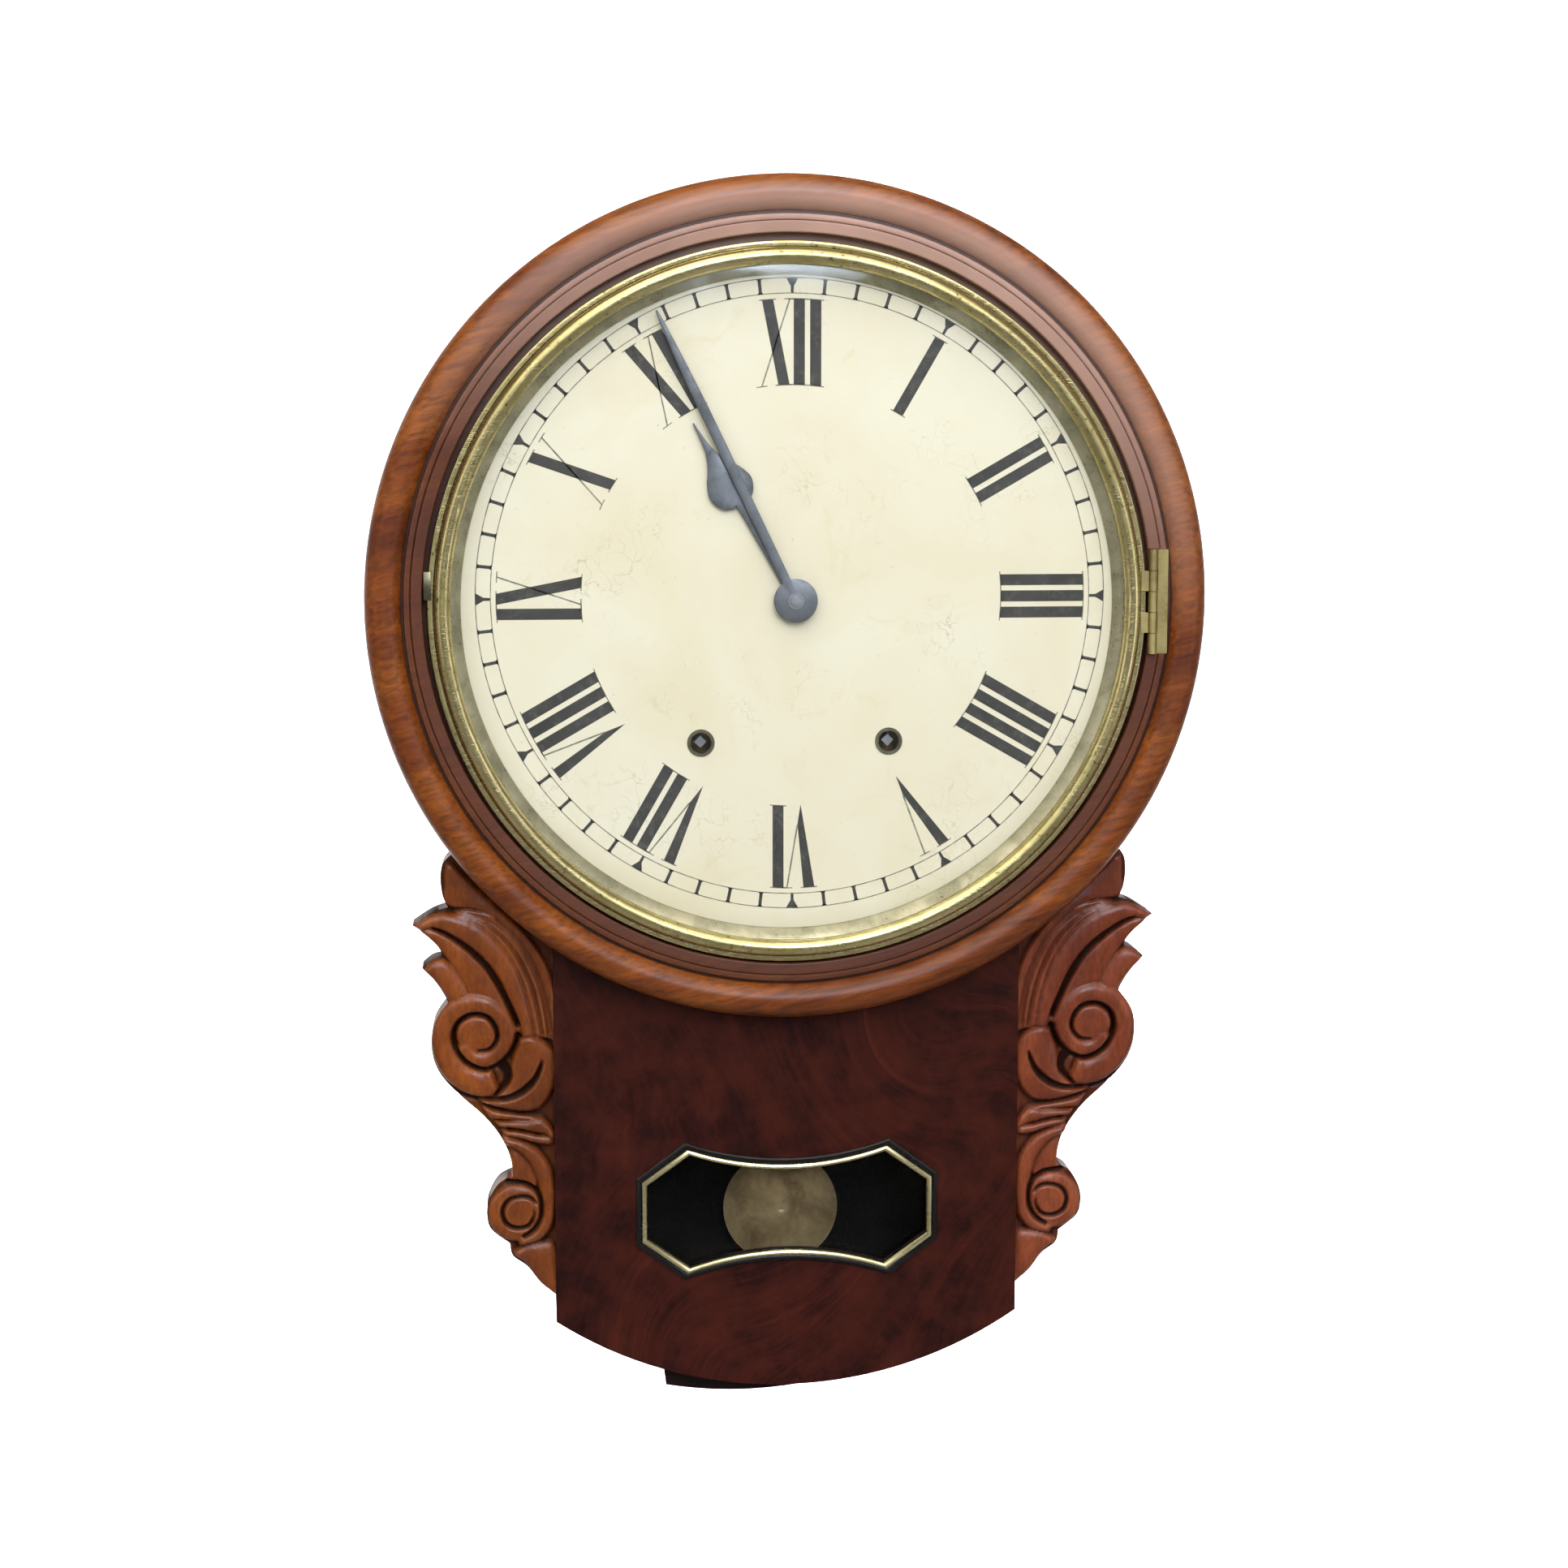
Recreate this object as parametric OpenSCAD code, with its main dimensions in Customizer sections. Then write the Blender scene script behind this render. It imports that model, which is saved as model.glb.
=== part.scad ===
// Drop dial wall clock: a turned surround over a box case with a curved foot,
// carved ears, a hinged brass bezel and an eight-day time and strike movement.
// Millimetres, +Z up, front towards -Y, origin at the hole that hangs on the wall.

/* [Case] */
// Width of the trunk
trunk_w = 215; // [200:1:240]
// Depth of the box from the wall to the back of the front panel
case_depth = 79; // [78:1:95]
// Thickness of the case boards
board_t = 9; // [7:0.5:9]
// Thickness of the trunk's front panel
panel_t = 9; // [8:0.5:11]
// Height of the dial's centre above the lowest point of the foot
foot_drop = 367.5; // [362:0.5:390]
// Radius of the curved foot
foot_r = 190; // [180:1:220]
// Distance from the surround's rim down to the top of the box
head_in = 42; // [34:1:43]
// Distance from the surround's rim down to the hanging hole
hanger_in = 57; // [57:1:61]
// Radius of the hanging hole
hanger_hole_r = 4.5; // [3.5:0.25:5]
// Width of the brass hanging plate
hanger_w = 34; // [30:1:40]
// Height of the brass hanging plate
hanger_h = 30; // [26:1:30]
// Thickness of the curved rails in the foot
rail_t = 8; // [7:0.5:10]

/* [Surround] */
// Outer radius of the turned surround
surround_r = 189; // [187:0.5:200]
// Width of the half-round moulding
moulding_w = 17.2; // [15:0.2:17.4]
// Height of the half-round moulding above its widest line
moulding_h = 10; // [8:0.5:12]
// Height of the moulding's widest line above the surround's back
moulding_rise = 10; // [9:0.5:12]
// Width of the surround from its rim to the edge of the lip that carries the dial
lip_in = 41; // [40:0.5:49]
// Height of the lip above the surround's back
lip_h = 9; // [8:0.5:10]
// Width of the surround outside the rebate that the bezel drops into
rebate_in = 25.8; // [25.6:0.1:26.4]
// Height of the flat band above the lip
band_h = 7; // [6.5:0.1:8]

/* [Dial] */
// How far the dial plate laps over the surround's lip
dial_lap = 8; // [7:0.25:8.5]
// Thickness of the dial plate
dial_t = 1; // [0.8:0.1:1.2]
// Sideways place of the hand arbor from the surround's centre
arbor_x = 2.6; // [0:0.1:3]
// Height of the hand arbor above the surround's centre
arbor_y = 1.2; // [0:0.1:2]
// Half the distance between the winding holes
winding_x = 42.5; // [41.5:0.5:43]
// Drop of the winding holes below the hand arbor
winding_drop = 64; // [63.5:0.5:66]
// Inner radius of a winding hole's ferrule
ferrule_r = 4.7; // [4.4:0.1:5]

/* [Bezel] */
// Gap between the bezel's flange and the rebate
bezel_gap = 2.2; // [2:0.1:2.6]
// Drop of the bezel on its worn hinge
bezel_sag = 1.2; // [0:0.1:1.4]
// Radius of the bezel's round bead
bead_r = 3.7; // [3.4:0.1:3.9]
// How far the sight ring reaches inside the surround's lip
sight_lap = 1.6; // [1:0.2:2.2]
// Thickness of the bezel glass
glass_t = 2; // [1.6:0.1:2.2]
// Rise of the domed glass
glass_dome = 4.5; // [4.2:0.1:6]
// Height of the lifting tab at nine o'clock
tab_h = 12.5; // [8:0.5:16]
// How far the lifting tab stands out of the bezel
tab_reach = 1.5; // [1:0.1:1.6]
// Height of the bezel hinge
hinge_h = 47; // [40:1:52]
// Radius of the hinge's knuckles
knuckle_r = 2.1; // [1.9:0.05:2.2]
// Radius of the hinge's pin
hinge_pin_r = 1; // [0.8:0.05:1.2]

/* [Window] */
// Half width of the pendulum window
window_half_w = 66.9; // [60:0.5:72]
// Half distance between the window's upper corners
window_corner_x = 46.4; // [42:0.5:52]
// Half height of the window at its corners
window_corner_h = 29.8; // [26:0.5:31]
// Half height of the window at its waist
window_waist_h = 23.2; // [20:0.5:25]
// Half height of the window's short upright sides
window_side_h = 15.3; // [12:0.5:18]
// Height of the window's centre above the lowest point of the foot
window_rise = 84.9; // [83.5:0.1:91.5]
// Width of the window's black border
border_w = 3.6; // [3:0.2:4.5]
// Width of the window's brass line
line_w = 3; // [2.4:0.2:3.6]

/* [Ears] */
// Thickness of the carved ears
ear_t = 20; // [16:1:24]
// Height of the carving on the ears
carve_h = 5; // [3:0.5:5]
// Radius of the big scroll
scroll_r = 20; // [18:0.5:20.5]
// Radius of the small scroll
curl_r = 12.6; // [11:0.2:13]

/* [Door] */
// Half width of the door in the foot
door_half_w = 57.5; // [50:0.5:60]
// Thickness of the door
door_t = 7; // [6:0.5:7.5]
// How far the closed door stands back inside the foot's edge
door_set = 2.5; // [2:0.25:3]
// How far the door hangs ajar, in degrees
door_ajar = 7; // [5:0.5:10]
// Radius of the pins that the door turns on
door_pin_r = 1.5; // [1.2:0.1:1.8]

/* [Hands] */
// Gap between the minute hand's tip and the sight ring
minute_gap = 4.4; // [3.4:0.1:14.4]
// How much shorter the hour hand is than the minute hand
hour_short = 51; // [46:1:58]
// Radius of the minute hand's round boss
boss_r = 9.8; // [8:0.2:11]
// Direction of the minute hand, clockwise from twelve
minute_at = 334.3; // [0:0.1:360]
// Direction of the hour hand, clockwise from twelve
hour_at = 330; // [0:0.1:360]

/* [Movement] */
// Half width of the movement's plates
plate_half_w = 58; // [56:1:62]
// Thickness of the movement's plates
plate_t = 1.6; // [1.4:0.1:2]
// Distance of the back plate from the wall
plate_back = 34; // [33:0.5:35]
// Gap between the front plate and the front panel
plate_clear = 3.4; // [2.8:0.1:3.8]
// Module of the great wheels
great_module = 0.9; // [0.88:0.01:0.91]
// Teeth of each great wheel
great_teeth = 80; // [78:1:81]
// Radius of the wound mainsprings
spring_r = 30; // [26:1:32]
// Height of the pendulum's pivot above the hand arbor
pivot_rise = 53; // [52.6:0.1:54]
// Radius of the pendulum bob
bob_r = 28.3; // [24:0.5:30]
// Height of the bob's centre above the lowest point of the foot
bob_rise = 66; // [64.5:0.5:72.5]

/* [Hidden] */
$fn = 96;
// Clearance of a shaft in its bearing, on the radius
run_gap = 0.05;
// Clearance between parts that pass or lie beside each other
part_gap = 0.4;

side_x = trunk_w / 2;
panel_front = case_depth + panel_t;
head_rise = surround_r - head_in;
hanger_rise = surround_r - hanger_in;
foot_y = foot_r - foot_drop;
corner_y = foot_y - sqrt(foot_r * foot_r - side_x * side_x);
window_drop = foot_drop - window_rise;
bob_drop = foot_drop - bob_rise;
lip_r = surround_r - lip_in;
rebate_r = surround_r - rebate_in;
dial_r = lip_r + dial_lap;
bezel_r = rebate_r - bezel_gap;
sight_r = lip_r - sight_lap;
minute_len = sight_r - minute_gap;
hour_len = minute_len - hour_short;
dial_back = panel_front + lip_h;
dial_front = dial_back + dial_t;
band_front = dial_back + band_h;

hanger_t = 2;
sunk_head = 1.2;
hanger_screw_r = 1.2;
hanger_head_r = 2.6;
hanger_screw_at = [for (side = [-1, 1]) [side * (hanger_w / 2 - 6), 7 - hanger_h / 2]];

// The round mask board behind the surround
mask_r = surround_r - 17;
mask_hole_r = side_x - board_t - 0.5;

dial_screw_r = 1.1;
dial_screw_depth = 5;
dial_head_r = 2.2;
dial_head_t = 0.8;
dial_screw_at = [for (a = [45:90:315]) (dial_r - 4) * [cos(a), sin(a)]];

// The bezel's levels, worked out from the dial
skirt_back = dial_back + part_gap;
skirt_r = bezel_r - 2.8;
flange_front = band_front + 0.4;
bead_c = flange_front + 2.2;
glass_back = dial_front + 5.2;
glass_rim_r = bezel_r - 7.7;
dome_r = (glass_rim_r * glass_rim_r + glass_dome * glass_dome) / (2 * glass_dome);

// The bezel hinge stands at the right of the surround
hinge_x = rebate_r + 0.6;
hinge_front = band_front + 1;
leaf_t = 1;
leaf_w = 7;
knuckles = 5;
knuckle_h = hinge_h / knuckles;

// The window is cut in the panel, with a wider rebate behind for its glass
window_glass_lap = 4;
window_rebate = panel_t - 5;
window_glass_t = 2;

// The door turns on pins at its right end
door_out_r = foot_r - door_set;
door_mid_r = door_out_r - door_t / 2;
door_pin_x = door_half_w - door_t / 2 - part_gap;
door_pin = [door_pin_x, foot_y - sqrt(door_mid_r * door_mid_r - door_pin_x * door_pin_x)];
pin_seat = 5;
pin_length = 14;
door_back = board_t + 1;
door_front = case_depth - 1;

// The turn button sits under the left rail, square to the curve
button_angle = 19.6;
button_line = 44;
button_t = 1.4;
button_r = 3.4;
button_tip_r = 2.2;
button_reach = 9;
button_screw_r = 1.3;
button_head_r = 2.6;
button_head_t = 1;

// The movement's arbors, seen from the front, from the surround's centre
centre_at = [arbor_x, arbor_y];
time_at = centre_at + [winding_x, -winding_drop];
strike_at = centre_at + [-winding_x, -winding_drop];
second_module = 0.9;
second_teeth = 64;
second_pinion = 12;
centre_pinion = 16;
train_module = 0.55;
centre_teeth = 80;
third_module = 0.5;
third_teeth = 80;
leaves = 8;
escape_teeth = 30;
escape_r = 14;
strike_module = 0.7;
warning_module = 0.5;
warning_teeth = 60;
cannon_teeth = 16;
minute_wheel_teeth = 48;
minute_pinion = 12;
hour_teeth = 48;
motion_module = 0.6;
motion_reach = motion_module * (cannon_teeth + minute_wheel_teeth) / 2;
hour_module = 2 * motion_reach / (minute_pinion + hour_teeth);

pivot_at = centre_at + [0, pivot_rise];
escape_at = pivot_at - [0, escape_r / cos(45)];
centre_reach = train_module * (centre_teeth + leaves) / 2;
third_reach = third_module * (third_teeth + leaves) / 2;
third_at = meet(centre_at, centre_reach, escape_at, third_reach);
great_reach = great_module * (great_teeth + second_pinion) / 2;
second_at = meet(time_at, great_reach, centre_at, second_module * (second_teeth + centre_pinion) / 2);
strike_second_at = step_from(strike_at, great_reach, 95);
warning_reach = strike_module * (second_teeth + leaves) / 2;
warning_at = step_from(strike_second_at, warning_reach, 80);
fly_reach = warning_module * (warning_teeth + leaves) / 2;
fly_at = step_from(warning_at, fly_reach, 70);
vane_w = 23;
vane_h = 14;
vane_t = 0.8;
minute_wheel_at = step_from(centre_at, motion_reach, 200);
hammer_at = centre_at + [-30, -104];

plate_top = 66;
plate_foot = -112;
plate_gap = case_depth - plate_clear - 2 * plate_t - plate_back;
inner_back = plate_back + plate_t;
inner_front = inner_back + plate_gap;
plate_front = inner_front + plate_t;
pillar_at = [[50, 55], [-50, 55], [50, -106], [-50, -106]];
pillar_r = 3.2;
stud_r = 1.5;
nut_t = 2;
pivot_r = 0.8;
winding_r = 3;
great_hub = 18;
click_reach = 13;
ratchet_r = 6.6;
ratchet_tooth = 1.4;
ratchet_teeth = 18;
key_half = 2;
shaft_r = 1.4;
hand_shaft_r = 1.5;
pipe_r = 2.6;
hour_pipe_r = 3.8;
hour_boss_r = 8;

// The levels of the wheels, measured from the wall; the mainsprings leave the trains this room
train_room = 22.4;
spring_back = inner_back + 2.5;
spring_w = plate_gap - train_room;
great_back = spring_back + spring_w + 2;
wheel_t = 1.6;
fine_t = 1;
second_back = inner_front - 10;
centre_back = inner_front - 5;
third_back = inner_back + 3;
escape_back = inner_back + 10;
warning_back = third_back + 5;
motion_back = plate_front + 2.2;
hour_wheel_back = motion_back + 4;
hour_hand_back = dial_front + 1.6;
minute_hand_back = hour_hand_back + 2.2;
hand_t = 0.9;

// Wooden blocks carry the movement on the backboard
movement_screw_depth = 12;
block_w = 14;
block_x = plate_half_w - block_w / 2 - 1;
block_y = [-98, 47];
movement_screw_at = [for (side = [-1, 1], y = [block_y[0] + 8, block_y[1] - 5])
    centre_at + [side * block_x, y]];

// The pendulum hangs behind the back plate
post_at = pivot_at + [0, 5.4];
rod_r = 1.6;
rod_line = 20;
bob_t = 10;
crutch_back = rod_line + 6;

// The gong is coiled under the movement
gong_at = [10, -170];
gong_r = 40;
gong_step = 6;
gong_grip = 30;
gong_wire = 1.6;
gong_turns = 3;
gong_line = 56;

// Outline of the left ear from the trunk's lower corner: smooth runs that meet in sharp corners
ear_runs = [
    [[-42.5, 222.2], [-48.5, 216.7], [-50.3, 210.2], [-49.5, 201.2], [-47.1, 195.6]],
    [[-47.1, 195.6], [-54.5, 193], [-63.3, 187.4]],
    [[-63.3, 187.4], [-56.5, 182.6], [-51.5, 177.2], [-49.9, 172.4]],
    [[-49.9, 172.4], [-54.8, 171.2], [-59.3, 167.6]],
    [[-59.3, 167.6], [-53.2, 161.2], [-47.7, 151.8]],
    [[-47.7, 151.8], [-53.7, 143.2], [-55.6, 133.6], [-54.5, 124.1], [-50.1, 115.6], [-41.9, 106.8],
        [-32, 97.6], [-24.3, 87.3], [-20.1, 77.2], [-19.4, 69.2]],
    [[-19.4, 69.2], [-25.9, 65.6], [-30.5, 57.6], [-31.4, 50.2], [-29.3, 43.6], [-21.1, 37]],
    [[-21.1, 37], [-19.7, 31], [-13.1, 25.8], [-6.9, 17.8], [0, 12.2]]
];
ear_foot = 12.2;
ear_head = 222.2;
scroll_at = [-34, 133.7];
curl_at = [-17.9, 52.4];

// Outlines of the raised leaves on the left ear
leaf_big = [[-61.5, 187.2], [-46.5, 191.7], [-30.5, 186.2], [-14.5, 171.2], [-5.5, 152.2], [-3.5, 130.2],
    [-10.5, 134.2], [-18.5, 152.2], [-32.5, 168.2], [-48.5, 179.2]];
leaf_small = [[-57.5, 167.2], [-48.5, 168.2], [-40.5, 158.2], [-46.5, 154.2]];
bulb = [[-13.5, 134.2], [-2.5, 128.2], [-2, 116.2], [-9.5, 103.2], [-26.5, 99.2], [-37.5, 105.2],
    [-21.5, 112.2]];
stem = [[-22.5, 87.2], [-8.5, 82.2], [-2, 68.2], [-2.5, 48.2], [-10.5, 38.2], [-8.5, 54.2], [-12.5, 70.2]];
tail = [[-16.5, 34.2], [-5.5, 38.2], [-1.5, 28.2], [-1.5, 15.2], [-8.5, 23.2]];

// The clock's own frame: x to the right, y up from the dial's centre, z out from the wall
module clock() {
    translate([0, 0, -hanger_rise]) rotate([90, 0, 0]) children();
}

module at(place, level) {
    translate([place[0], place[1], level]) children();
}

function step_from(p, reach, angle) = p + reach * [cos(angle), sin(angle)];

// Right-hand crossing of two circles round p and q
function meet(p, rp, q, rq) =
    let (d = norm(q - p), u = (q - p) / d, a = (d * d + rp * rp - rq * rq) / (2 * d))
    p + a * u + sqrt(max(0, rp * rp - a * a)) * [u[1], -u[0]];

function bearing(p, q) = atan2(q[1] - p[1], q[0] - p[0]);

// Turn of a pinion at p that puts a gap where the wheel at q has a tooth
function mating(p, q, teeth) = bearing(p, q) + 180 / teeth;

function arc_points(c, rx, ry, from, to, steps) =
    [for (i = [0:steps]) let (a = from + (to - from) * i / steps) c + [rx * cos(a), ry * sin(a)]];

// Smooth curve through a run of points
function through(run, steps) =
    let (n = len(run) - 1)
    [for (k = [0:n - 1], i = [0:steps - 1])
        let (s = i / steps, a = run[max(k - 1, 0)], b = run[k], c = run[k + 1], d = run[min(k + 2, n)])
        0.5 * (2 * b + (c - a) * s + (2 * a - 5 * b + 4 * c - d) * s * s
            + (3 * b - a - 3 * c + d) * s * s * s)];

module disc(r, h) {
    cylinder(r = r, h = h);
}

module tube(r, hole, h) {
    difference() {
        cylinder(r = r, h = h);
        translate([0, 0, -1]) cylinder(r = hole, h = h + 2);
    }
}

// Flat gear outline with straight flanks and some shake
module gear_outline(teeth, size) {
    pitch = 360 / teeth;
    r = teeth * size / 2;
    polygon([for (i = [0:teeth - 1], corner = [[-0.25, -1.25], [-0.1, 0.85], [0.1, 0.85], [0.25, -1.25]])
        let (a = pitch * (i + corner[0]), rr = r + corner[1] * size) rr * [cos(a), sin(a)]]);
}

// Wheel with crossed-out spokes, one tooth at the angle turn
module wheel(teeth, size, h, bore, turn, spokes = 5, hub = 0) {
    r = teeth * size / 2;
    rim = r - 3.2 * size - 1;
    hub_r = max(hub, bore + 2, r * 0.18);
    rotate(turn) linear_extrude(h) difference() {
        gear_outline(teeth, size);
        circle(r = bore);
        difference() {
            circle(r = rim);
            circle(r = hub_r);
            for (i = [0:spokes - 1]) rotate(i * 360 / spokes)
                translate([0, -r * 0.05]) square([rim + 1, r * 0.1]);
        }
    }
}

module pinion(teeth, size, h, turn) {
    rotate(turn) linear_extrude(h) gear_outline(teeth, size);
}

// Shaft between the plates with a thin pivot at each end
module arbor(from = inner_back + 0.2, to = inner_front - 0.2, r = shaft_r) {
    translate([0, 0, from]) disc(r, to - from);
    translate([0, 0, plate_back + 0.2]) disc(pivot_r, plate_front - plate_back);
}

// Board with its lower edge on the curve of the foot
module foot_shape(half_w, top, r = foot_r) {
    intersection() {
        translate([-half_w, -foot_drop - 5]) square([2 * half_w, top + foot_drop + 5]);
        union() {
            translate([0, foot_y]) circle(r = r, $fn = 180);
            translate([-half_w, foot_y]) square([2 * half_w, top - foot_y + 1]);
        }
    }
}

// Sunk screw with its head's top at the level 0, pointing into the wall side
module screw(head_r, shank_r, length) {
    slot = 0.6;
    translate([0, 0, -length]) disc(shank_r, length - sunk_head);
    translate([0, 0, -sunk_head]) difference() {
        cylinder(r1 = shank_r, r2 = head_r, h = sunk_head);
        translate([-head_r, -slot / 2, sunk_head - slot + 0.1]) cube([2 * head_r, slot, 1]);
    }
}

module screw_hole(head_r, shank_r, length) {
    translate([0, 0, -length - 0.2]) disc(shank_r, length);
    translate([0, 0, -sunk_head]) cylinder(r1 = shank_r, r2 = head_r, h = sunk_head);
    disc(head_r, 1);
}

// Case

module hanger_outline() {
    intersection() {
        translate([-hanger_w / 2, -hanger_h / 2]) square([hanger_w, hanger_h]);
        circle(r = hanger_w * 0.58);
    }
}

module backboard() {
    color("saddlebrown") clock() difference() {
        linear_extrude(board_t) foot_shape(side_x, head_rise);
        at([0, hanger_rise], -1) linear_extrude(hanger_t + 1) hanger_outline();
        at([0, hanger_rise], 0) disc(hanger_hole_r + 3, board_t + 1);
        for (p = hanger_screw_at) at([0, hanger_rise] + p, 0) disc(hanger_screw_r, hanger_t + pin_seat);
        at(door_pin, board_t - pin_seat) disc(door_pin_r, pin_seat + 1);
    }
}

module case_side(side) {
    x = side > 0 ? side_x - board_t : -side_x;
    color("sienna") clock() intersection() {
        at([x, -foot_drop], board_t) cube([board_t, foot_drop + head_rise, case_depth - board_t]);
        linear_extrude(case_depth) foot_shape(side_x, head_rise);
    }
}

module case_side_left() {
    case_side(-1);
}

module case_side_right() {
    case_side(1);
}

module case_top() {
    color("sienna") clock() at([-side_x + board_t, head_rise - board_t], board_t)
        cube([trunk_w - 2 * board_t, board_t, case_depth - board_t]);
}

module mask_board() {
    color("peru") clock() at([0, 0], case_depth) tube(mask_r, mask_hole_r, panel_t, $fn = 180);
}

// Outline of the window, grown or shrunk by the margin
module window_outline(margin) {
    w = window_half_w + margin;
    cx = window_corner_x + margin * 0.45;
    ch = window_corner_h + margin * 1.15;
    wh = window_waist_h + margin;
    sh = window_side_h + margin * 0.6;
    dip = ch - wh;
    bow_r = (cx * cx + dip * dip) / (2 * dip);
    span = asin(cx / bow_r);
    translate([0, -window_drop]) polygon(concat(
        [[w, -sh], [w, sh]],
        arc_points([0, wh + bow_r], bow_r, bow_r, -90 + span, -90 - span, 16),
        [[-w, sh], [-w, -sh]],
        arc_points([0, -wh - bow_r], bow_r, bow_r, 90 + span, 90 - span, 16)));
}

module trunk_front() {
    color("#4a1a14") clock() difference() {
        at([0, 0], case_depth) linear_extrude(panel_t) difference() {
            foot_shape(side_x, 0);
            circle(r = mask_r, $fn = 180);
            window_outline(0);
        }
        at([0, 0], case_depth - 1) linear_extrude(window_rebate + 1)
            window_outline(window_glass_lap);
        at(door_pin, case_depth - 1) disc(door_pin_r, pin_seat + 1);
    }
}

module foot_rail(side) {
    color("sienna") clock() at([0, 0], board_t) linear_extrude(case_depth - board_t) intersection() {
        translate([0, foot_y]) difference() {
            circle(r = foot_r, $fn = 180);
            circle(r = foot_r - rail_t, $fn = 180);
        }
        translate([side > 0 ? door_half_w + part_gap : -side_x + board_t, -foot_drop])
            square([side_x - board_t - door_half_w - part_gap, foot_r]);
    }
}

module foot_rail_left() {
    color("sienna") difference() {
        foot_rail(-1);
        clock() button_frame() at([0, 0], -1) disc(button_screw_r, pin_seat + 1);
    }
}

module foot_rail_right() {
    foot_rail(1);
}

// The door at rest, hanging ajar about its pins
module door_turn(angle) {
    at(door_pin, 0) rotate(angle) at(-door_pin, 0) children();
}

module foot_door() {
    color("#2a120e") clock() door_turn(door_ajar) difference() {
        at([0, 0], door_back) linear_extrude(door_front - door_back) union() {
            intersection() {
                translate([0, foot_y]) difference() {
                    circle(r = door_out_r, $fn = 180);
                    circle(r = door_out_r - door_t, $fn = 180);
                }
                translate([-door_half_w, -foot_drop]) square([door_half_w + door_pin[0], foot_r]);
            }
            translate(door_pin) circle(r = door_t / 2);
        }
        at(door_pin, door_back - 1) disc(door_pin_r + run_gap, door_front - door_back + 2);
    }
}

module door_pins() {
    color("goldenrod") clock() {
        at(door_pin, board_t - pin_seat) disc(door_pin_r, pin_length);
        at(door_pin, case_depth + pin_seat - pin_length) disc(door_pin_r, pin_length);
    }
}

// Level 0 lies on the rail's outer face, with z into the rail
module button_frame() {
    translate([0, foot_y, button_line]) rotate(-90 - button_angle) translate([foot_r, 0, 0])
        rotate([0, -90, 0]) children();
}

module door_button() {
    color("goldenrod") clock() button_frame() at([0, 0], -button_t - 0.1) linear_extrude(button_t)
        difference() {
            union() {
                circle(r = button_r);
                polygon([[0, -button_r], [button_reach, -button_tip_r],
                    [button_reach, button_tip_r], [0, button_r]]);
                translate([button_reach, 0]) circle(r = button_tip_r);
            }
            circle(r = button_screw_r + run_gap);
        }
}

module door_button_screw() {
    color("goldenrod") clock() button_frame() {
        at([0, 0], -button_t - 0.2 - button_head_t) disc(button_head_r, button_head_t);
        at([0, 0], -button_t - 0.4) disc(button_screw_r, button_t + pin_seat);
    }
}

module hanger_plate() {
    color("goldenrod") clock() at([0, hanger_rise], 0) difference() {
        linear_extrude(hanger_t) hanger_outline();
        at([0, 0], -1) disc(hanger_hole_r, hanger_t + 2);
        for (p = hanger_screw_at) at(p, 0) rotate([180, 0, 0])
            screw_hole(hanger_head_r, hanger_screw_r, 2 * hanger_t);
    }
}

module hanger_screws() {
    color("goldenrod") clock() for (p = hanger_screw_at) at([0, hanger_rise] + p, 0)
        rotate([180, 0, 0]) screw(hanger_head_r, hanger_screw_r, hanger_t + pin_seat);
}

// Surround

// Turned profile: radius and height above the surround's back
module surround_profile() {
    rim_c = surround_r - moulding_w / 2;
    band = lip_h + band_h;
    quirk = band - 1.6;
    quirk_r = surround_r - moulding_w - 0.2;
    foot = asin((quirk - moulding_rise) / moulding_h);
    polygon(concat(
        [[lip_r, 0], [lip_r, lip_h], [rebate_r, lip_h], [rebate_r, band - 0.7], [rebate_r + 0.8, band]],
        [[quirk_r - 3.5, band + 0.3], [quirk_r - 3.1, band - 0.4], [quirk_r - 2.6, band + 0.3]],
        [[quirk_r - 0.4, band + 0.3], [quirk_r, quirk]],
        arc_points([rim_c, moulding_rise], moulding_w / 2, moulding_h, 180 - foot, 0, 22),
        [[surround_r - 0.9, 0]]));
}

module surround() {
    color("#8a4a2a") clock() difference() {
        at([0, 0], panel_front) rotate_extrude($fn = 180) surround_profile();
        hinge_recess();
        for (p = dial_screw_at) at(p, dial_back - dial_screw_depth) disc(dial_screw_r, dial_screw_depth + 1);
    }
}

// Ears

module ear_place() {
    translate([-side_x, corner_y, 0]) children();
}

// The ear's top is cut back to the round mask board
module ear_outline() {
    difference() {
        ear_place() polygon(concat(
            [for (run = ear_runs) each through(run, 5)], [[0, ear_foot], [0, ear_head]]));
        circle(r = mask_r + part_gap, $fn = 180);
    }
}

// Raised roll that winds inwards round the centre
module roll(c, r, turns, h, wide) {
    steps = 20;
    points = [for (i = [0:steps * turns])
        let (a = -40 + 360 * i / steps, q = r * (1 - 0.68 * i / (steps * turns))) q * [cos(a), sin(a)]];
    inner = [for (i = [len(points) - 1:-1:0]) points[i] * (1 - wide / norm(points[i]))];
    at(c, 0) linear_extrude(h) polygon(concat(points, inner));
}

module leaf(run, h) {
    linear_extrude(h) polygon(through(concat(run, [run[0]]), 5));
}

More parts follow.
